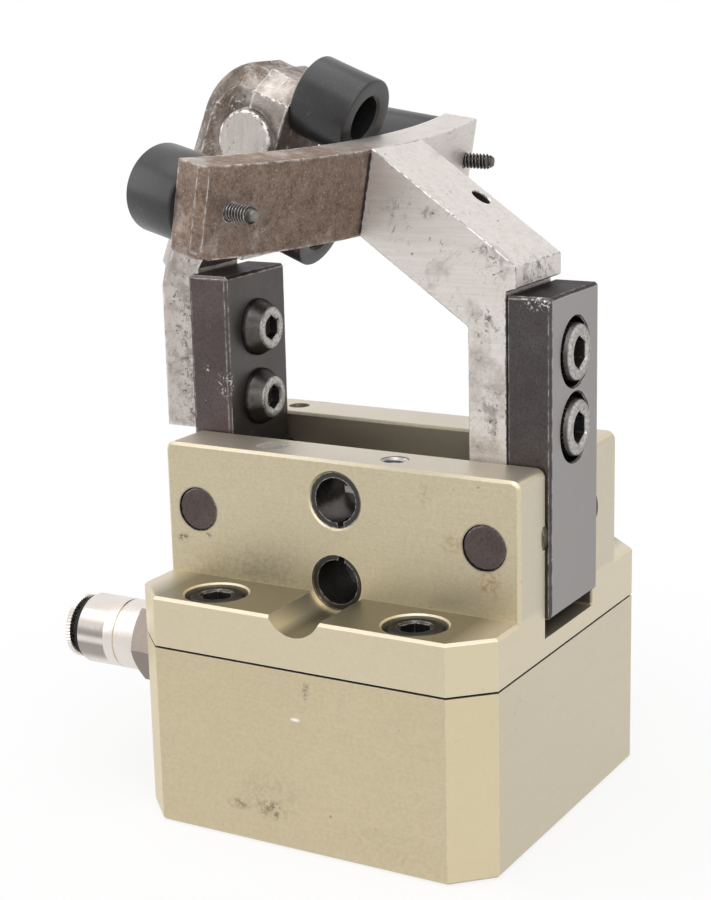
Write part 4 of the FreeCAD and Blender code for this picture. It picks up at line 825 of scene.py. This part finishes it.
def button_screw_form(shank):
    key = hexagon(BUTTON_KEY)
    rings = shank_rings(shank) + [
        (5.1, 0), (5.24, 0.15), (5.24, 0.55), (5.14, 0.85), (4.72, 1.55), (4.28, 2.3), (3.92, 2.92),
        (3.78, 3.14), (3.55, 3.26), (3.3, 3.28), (2.55, 3.28), (key, 3.0), (key, 1.3), (1.2, 1.05),
        (0, 0.75)]
    return spun(rings, 72)


def small_screw_form(shank):
    key = hexagon(SMALL_KEY)
    rings = shank_rings(shank, 1.48, 1.2, 0.3) + [
        (2.6, 0), (2.73, 0.15), (2.73, 2.5), (2.6, 2.82), (2.35, 2.98), (1.5, 2.98), (key, 2.75), (key, 1.4),
        (0.7, 1.2), (0, 1.0)]
    return spun(rings, 48)


def make_screws():
    flange = [(*cap_screw_form(15.0), standing((x, y, FLANGE_SEAT_Z), UP)) for x, y in FLANGE_SCREWS]
    piece("flange_cap_screws", flange, "housing", screw_finish, ["body_screws"])
    right = [(*cap_screw_form(9.9), standing((RIGHT_SEAT_X, 0, z), (1, 0, 0))) for z in JAW_SCREW_Z]
    piece("right_jaw_cap_screws", right, "right_jaw", right_screw_finish,
          ["right_finger_screws"])
    left = [(*button_screw_form(16.0), standing((LEFT_SEAT_X, 0, z), (1, 0, 0))) for z in JAW_SCREW_Z]
    piece("left_jaw_button_screws", left, "left_jaw", left_screw_finish,
          ["left_finger_screws"])
    small = [(*small_screw_form(9.5), on_head(up, BUMPER_WEB)) for up in (0, -BUMPER_PITCH)]
    piece("bumper_cap_screws", small, "left_jaw", screw_finish, ["left_bumper_screws"])


def rounded_end(radius, level, turn, way):
    """Rings of a rounded rim at a level: way 1 rounds over towards the end, -1 away from it."""
    steps = [pi / 2 * i / 4 for i in range(5)]
    rings = [(radius - turn + turn * cos(a), level - way * (turn - turn * sin(a))) for a in steps]
    return rings if way > 0 else rings[::-1]


def bumper_form(length, hole_low, hole_high, web):
    """A moulded bumper: hole_low through the seat, hole_high above the web, none where it is zero."""
    radius = BUMPER_RADIUS - 0.12
    rings = [(hole_low, 0)] + rounded_end(radius, 0, 0.35, -1)
    rings += [(radius - 0.02, length * 0.5)]
    rings += rounded_end(radius, length, 0.4, 1)
    if hole_high:
        rings += [(hole_high + 1.2, length - 0.02), (hole_high + 0.45, length - 0.1),
                  (hole_high, length - 0.55), (hole_high, web + 0.3), (hole_high - 0.3, web),
                  (hole_low, web)]
    else:
        rings += [(radius - 2.2, length), (radius - 2.5, length - 0.15), (0, length - 0.15), (0, web),
                  (hole_low, web)]
    rings.append((hole_low, 0))
    return spun(rings, 96)


def bar_axis(angle):
    """The way out along a radius of the curved bar."""
    return BAR_FRAME.to_3x3() @ Vector((cos(angle), sin(angle), 0))


def bar_point(radius, angle):
    return BAR_FRAME @ Vector((radius * cos(angle) - BAR_RADIUS, radius * sin(angle), 0))


def make_bumpers():
    for name, degrees in BAR_STUDS:
        angle = radians(degrees)
        place = standing(bar_point(BUMPER_SEAT, angle), -bar_axis(angle))
        form = bumper_form(BAR_BUMPER_LENGTH, STUD_RADIUS + 0.05, 0, STUD_IN + 2.0)
        piece(f"{name}_bumper_moulded", [(*form, place)], "right_jaw", bumper_finish,
              [f"{name}_bumper"])
    for name, up, length in HEAD_BUMPERS:
        form = bumper_form(length, BUMPER_SCREW_HOLE, BUMPER_HOLE_RADIUS, BUMPER_WEB)
        piece(f"{name}_bumper_moulded", [(*form, on_head(up))], "left_jaw", bumper_finish,
              [f"{name}_bumper"])


def make_studs():
    """Studs of the bar's bumpers, with a rolled thread on the end that is a little bent up."""
    core = STUD_RADIUS - 0.4
    hidden = BAR_RADIUS - BUMPER_SEAT + STUD_IN - 0.6
    inner = spun([(0, 0), (core, 0), (core, hidden), (0, hidden)], 36)
    end = threaded_end(6.3, STUD_RADIUS, core, 0.66)
    bend = Matrix.Rotation(radians(-7), 3, BAR_FRAME.to_3x3() @ Vector((0, 1, 0)))
    for name, degrees in BAR_STUDS:
        angle = radians(degrees)
        axis = bar_axis(angle)
        parts = [(*inner, standing(bar_point(BUMPER_SEAT - STUD_IN, angle), axis)),
                 (*end, standing(bar_point(BAR_RADIUS - 0.7, angle), bend @ axis))]
        piece(f"{name}_stud_threaded", parts, "right_jaw", stud_finish, [f"{name}_stud"], 24)


def helix(points_per_turn, pitch, start, end, crest, root, fade):
    """Vertices and faces of a thread's flanks about Z, fading into the root at both ends."""
    steps_per_pitch = 8
    flank_slope = 2.9
    root_flat = 0.25
    rows = round((end - start) / pitch * steps_per_pitch)
    points = []
    for row in range(rows + 1):
        z = start + (end - start) * row / rows
        keep = min(1.0, (end - z) / fade, (z - start) / fade)
        for step in range(points_per_turn):
            turn = step / points_per_turn
            phase = (z / pitch - turn) % 1.0
            wave = min(1.0, max(0.0, abs(phase - 0.5) * flank_slope - root_flat))
            r = root + (crest - root) * wave * keep
            angle = 2 * pi * turn
            points.append((r * cos(angle), r * sin(angle), z))
    return points, side_faces(rows + 1, points_per_turn)


def threaded_end(length, radius, core, pitch):
    """A rolled thread from Z = 0, closed by a broken tip."""
    turn = 36
    tip = 0.45
    points, faces = helix(turn, pitch, 0, length - tip, radius - 0.02, core, 0.7)
    for more_points, more_faces in (spun([(0, 0), (core, 0)], turn),
                                    spun([(core, length - tip), (core - 0.3, length), (0, length)], turn)):
        offset = len(points)
        points = points + more_points
        faces = faces + [tuple(i + offset for i in face) for face in more_faces]
    return points, faces


def tapped(name, mouths, radius, depth, pitch, finish):
    """Thread crests in the walls of tapped holes, given as mouth and outward axis."""
    turn = 32
    top = -0.2
    crest = radius - 0.42
    root = radius - 0.03
    wall = radius - 0.01
    flanks = helix(turn, pitch, -depth, top, crest, root, 0.2)
    back = spun([(root, -depth), (wall, -depth), (wall, top), (root, top)], turn)
    parts = [(*form, standing(*mouth)) for mouth in mouths for form in (flanks, back)]
    piece(name, parts, "housing", finish, sharp=60)


def lining(radius, deep, shallow):
    """A thin closed sleeve in front of a plain hole's wall, between two depths."""
    wall = radius + 0.03
    return spun([(radius, -deep), (wall, -deep), (wall, -shallow), (radius, -shallow), (radius, -deep)], 48)


def make_threads():
    """Threads of the tapped holes, the lining of the dowel bore, and a near black lining of painted shade in
    the arm's hole.
    """
    wall_thread = [((WALL_THREAD_X, WALL_HOLES_Y, WALL_TOP_Z), UP)]
    tapped("wall_thread_crests", wall_thread, 2.5, 10.8, 1.0, drive_finish)
    dowel = standing((DOWEL_X, WALL_HOLES_Y, WALL_TOP_Z), UP)
    piece("dowel_bore_face", [(*lining(2.96, 9.6, 0.15), dowel)], "housing", bore_finish)
    drilled = standing(ARM_HOLE_MOUTH, ARM_HOLE_AXIS)
    # Painted shade: a near black lining in the arm's hole
    piece("arm_hole_shade", [(*lining(1.75, 5.8, 0.3), drilled)], "right_jaw", weld_shadow_finish)
    mounts = [((x, y, 0), -UP) for x in MOUNT_SIDES for y in MOUNT_SIDES]
    tapped("mount_thread_crests", mounts, 2.5, 11.5, 1.0, block_finish)
    port = [(RETURN_PORT_MOUTH, (-1, 0, 0))]
    tapped("port_thread_crests", port, 4.4, 8.4, 0.91, block_finish)


def make_pins():
    end = -PIN_HALF_LENGTH
    rings = [(0, end), (3.55, end), (3.8, end + 0.1), (PIN_RADIUS, end + 0.4)]
    rings += [(r, -h) for r, h in reversed(rings)]
    for side, x in (("left", -PIVOT_X), ("right", PIVOT_X)):
        place = standing((x, 0, PIVOT_Z), (0, 1, 0))
        piece(f"{side}_pivot_pin_turned", [(*spun(rings, 64), place)], "housing", pin_finish,
              [f"pivot_pin_{side}"], 8)


def hexagon_chamfer(across, start, end):
    """Rings of a hexagon whose corners are cut by a cone, between two pairs of corner radius and height."""
    steps = 8
    rings = []
    for step in range(steps + 1):
        share = step / steps
        limit, height = (a + (b - a) * share for a, b in zip(start, end))
        rings.append((clipped_hexagon(across, limit), height))
    return rings


def make_fitting():
    """The push-in fitting: hexagon with chamfered corners, barrel with a groove, ribbed release collar."""
    laid = standing(FITTING_ORIGIN, (-1, 0, 0)) @ Matrix.Rotation(pi / 6, 4, "Z")
    rings = [(2.2, -8.0), (4.0, -8.0), (4.36, -7.5), (4.36, 0.98), (6.4, 1.0)]
    rings += hexagon_chamfer(FITTING_KEY, (7.1, 1.0), (8.08, 1.55))
    rings += hexagon_chamfer(FITTING_KEY, (8.08, 7.4), (6.98, 8.0))
    rings += [
        (6.6, 8.0), (6.6, 12.2), (6.42, 12.35), (6.42, 12.75), (6.6, 12.9), (6.6, 20.75), (6.5, 21.05),
        (6.2, 21.28), (5.2, 21.3), (5.2, 11.82), (3.05, 11.82), (3.05, 8.82), (2.2, 8.82), (2.2, -8.0)]
    piece("fitting_body_plated", [(*spun(rings, 192), laid)], "housing", nickel_finish,
          ["fitting_body"], 20)
    low = 23.1
    inner_end = low - 7.0
    ribs = ribbed(5.98, 0.2, 60)
    collar = spun([
        (3.04, inner_end), (4.2, inner_end), (4.2, low), (5.5, low), (ribs, low + 0.2), (ribs, low + 1.15),
        (5.5, low + 1.45), (5.0, low + 1.6), (3.5, low + 1.6), (3.04, low + 1.3), (3.04, inner_end)], 240)
    piece("release_collar_ribbed", [(*collar, laid)], "release_collar", nickel_finish,
          ["release_collar"], 40)


def bead(name, path, radius, body, finish, seed):
    """An uneven weld bead along points of a path."""
    sides = 10
    points = []
    for index, centre in enumerate(path):
        ahead = path[min(index + 1, len(path) - 1)] - path[max(index - 1, 0)]
        across = standing((0, 0, 0), ahead.normalized()).to_3x3()
        swell = 1 + 0.28 * sin(index * 1.7 + seed) + 0.16 * sin(index * 0.63 + 2 * seed)
        for side in range(sides):
            angle = 2 * pi * side / sides
            r = radius * swell * (1 + 0.08 * sin(3 * angle + index))
            points.append(centre + across @ Vector((r * cos(angle), r * sin(angle), 0)))
    ends = [tuple(range(sides)), tuple(range(len(points) - sides, len(points)))]
    faces = ends + side_faces(len(path), sides)
    piece(name, [(points, faces, Matrix.Identity(4))], body, finish, sharp=70)


def make_welds():
    """The seams that join the arm to the back of the curved bar, near black as a painted shadow line."""
    steps = 30
    half = 6.9
    for side, y in (("front", -9.85), ("rear", 8.45)):
        local_y = y - BAR_ORIGIN.y
        out = sqrt(BAR_RADIUS**2 - local_y**2) - BAR_RADIUS + 0.1
        levels = [-half + 2 * half * step / steps for step in range(steps + 1)]
        path = [BAR_FRAME @ Vector((out, local_y, up)) for up in levels]
        bead(f"{side}_seam", path, 0.2, "right_jaw", weld_shadow_finish, 1.3 + y)


# Studio and camera

WHITE = (1, 1, 1, 1)
LAMP_AIM = Vector((0, 0, 0.06))

# Lamps in metres and watts: name, place, size, power
LAMPS = (
    ("overhead", (-0.05, -0.1, 0.8), (0.9, 0.8), 3.0),
    ("front_right", (0.4, -0.6, 0.6), (0.7, 0.7), 2.4),
    ("left", (-0.7, -0.4, 0.4), (0.6, 0.6), 1.4),
)


def make_floor():
    """A pale floor that goes over to plain white away from the part."""
    material, tree = new_material("studio_floor")
    rays = add(tree, "ShaderNodeLightPath")
    seen = calc(tree, "MAXIMUM", rays.outputs["Is Camera Ray"], rays.outputs["Is Glossy Ray"])
    seen = calc(tree, "MAXIMUM", seen, rays.outputs["Is Transmission Ray"])
    point = place_mm(tree)
    away = vector(tree, "LENGTH", point, output="Value")
    share = times(tree, seen, remap(tree, away, 60.0, 150.0, 0.8, 1.0))
    behind = remap(tree, coordinate(tree, point, 1), -160.0, 60.0, 0.92, 1.0)
    level = mix(tree, rays.outputs["Is Glossy Ray"], WHITE, behind)
    pale = add(tree, "ShaderNodeBsdfDiffuse", {"Color": (0.86, 0.86, 0.86, 1)})
    white = add(tree, "ShaderNodeEmission", {"Color": level})
    both = add(tree, "ShaderNodeMixShader", {0: share, 1: pale.outputs[0], 2: white.outputs[0]})
    add(tree, "ShaderNodeOutputMaterial", {"Surface": both.outputs[0]})
    reach = 3.0
    under = -0.0002
    corners = [(-reach, -reach), (reach, -reach), (reach, reach), (-reach, reach)]
    mesh = bpy.data.meshes.new("floor")
    mesh.from_pydata([(x, y, under) for x, y in corners], [], [(0, 1, 2, 3)])
    mesh.materials.append(material)
    floor = in_scene("floor", mesh)


def make_world():
    """White to the camera and in reflections, softer in front, and a plain level for diffuse light."""
    world = bpy.data.worlds.new("studio")
    SCENE.world = world
    world.use_nodes = True
    tree = world.node_tree
    tree.nodes.clear()
    rays = add(tree, "ShaderNodeLightPath")
    way = add(tree, "ShaderNodeSeparateXYZ", {0: add(tree, "ShaderNodeTexCoord").outputs["Generated"]})
    behind = remap(tree, way.outputs[1], -0.7, 0.4, 0.92, 1.0)
    level = mix(tree, rays.outputs["Is Glossy Ray"], (0.56, 0.56, 0.56, 1), behind)
    level = mix(tree, rays.outputs["Is Camera Ray"], level, WHITE)
    level = mix(tree, rays.outputs["Is Transmission Ray"], level, WHITE)
    light = add(tree, "ShaderNodeBackground", {"Color": level})
    add(tree, "ShaderNodeOutputWorld", {"Surface": light.outputs[0]})


def make_lamp(name, place, size, power):
    lamp = bpy.data.lights.new(name, "AREA")
    lamp.shape = "RECTANGLE"
    lamp.size, lamp.size_y = size
    lamp.energy = power
    made = in_scene(name, lamp)
    made.location = place
    made.rotation_euler = (LAMP_AIM - Vector(place)).to_track_quat("-Z", "Y").to_euler()


def make_camera():
    """The photo's place and view of the part."""
    place = Vector((162.35, -291.45, 144.81)) * MM
    right = Vector((0.8666, 0.498, -0.0234)).normalized()
    forward = Vector((-0.489, 0.8397, -0.2368)).normalized()
    above = right.cross(forward).normalized()
    right = forward.cross(above)
    turn = Matrix((right, above, -forward)).transposed().to_4x4()
    lens = bpy.data.cameras.new("camera")
    lens.lens = 76.4
    lens.sensor_width = 36.0
    lens.clip_start = 0.01
    camera = in_scene("camera", lens)
    camera.matrix_world = Matrix.Translation(place) @ turn
    SCENE.camera = camera


dress_solids()
make_worn_steel()
make_screws()
make_bumpers()
make_studs()
make_threads()
make_pins()
make_fitting()
make_welds()
make_floor()
make_world()
for lamp_values in LAMPS:
    make_lamp(*lamp_values)
make_camera()
bpy.context.scene.view_settings.view_transform = "Standard"
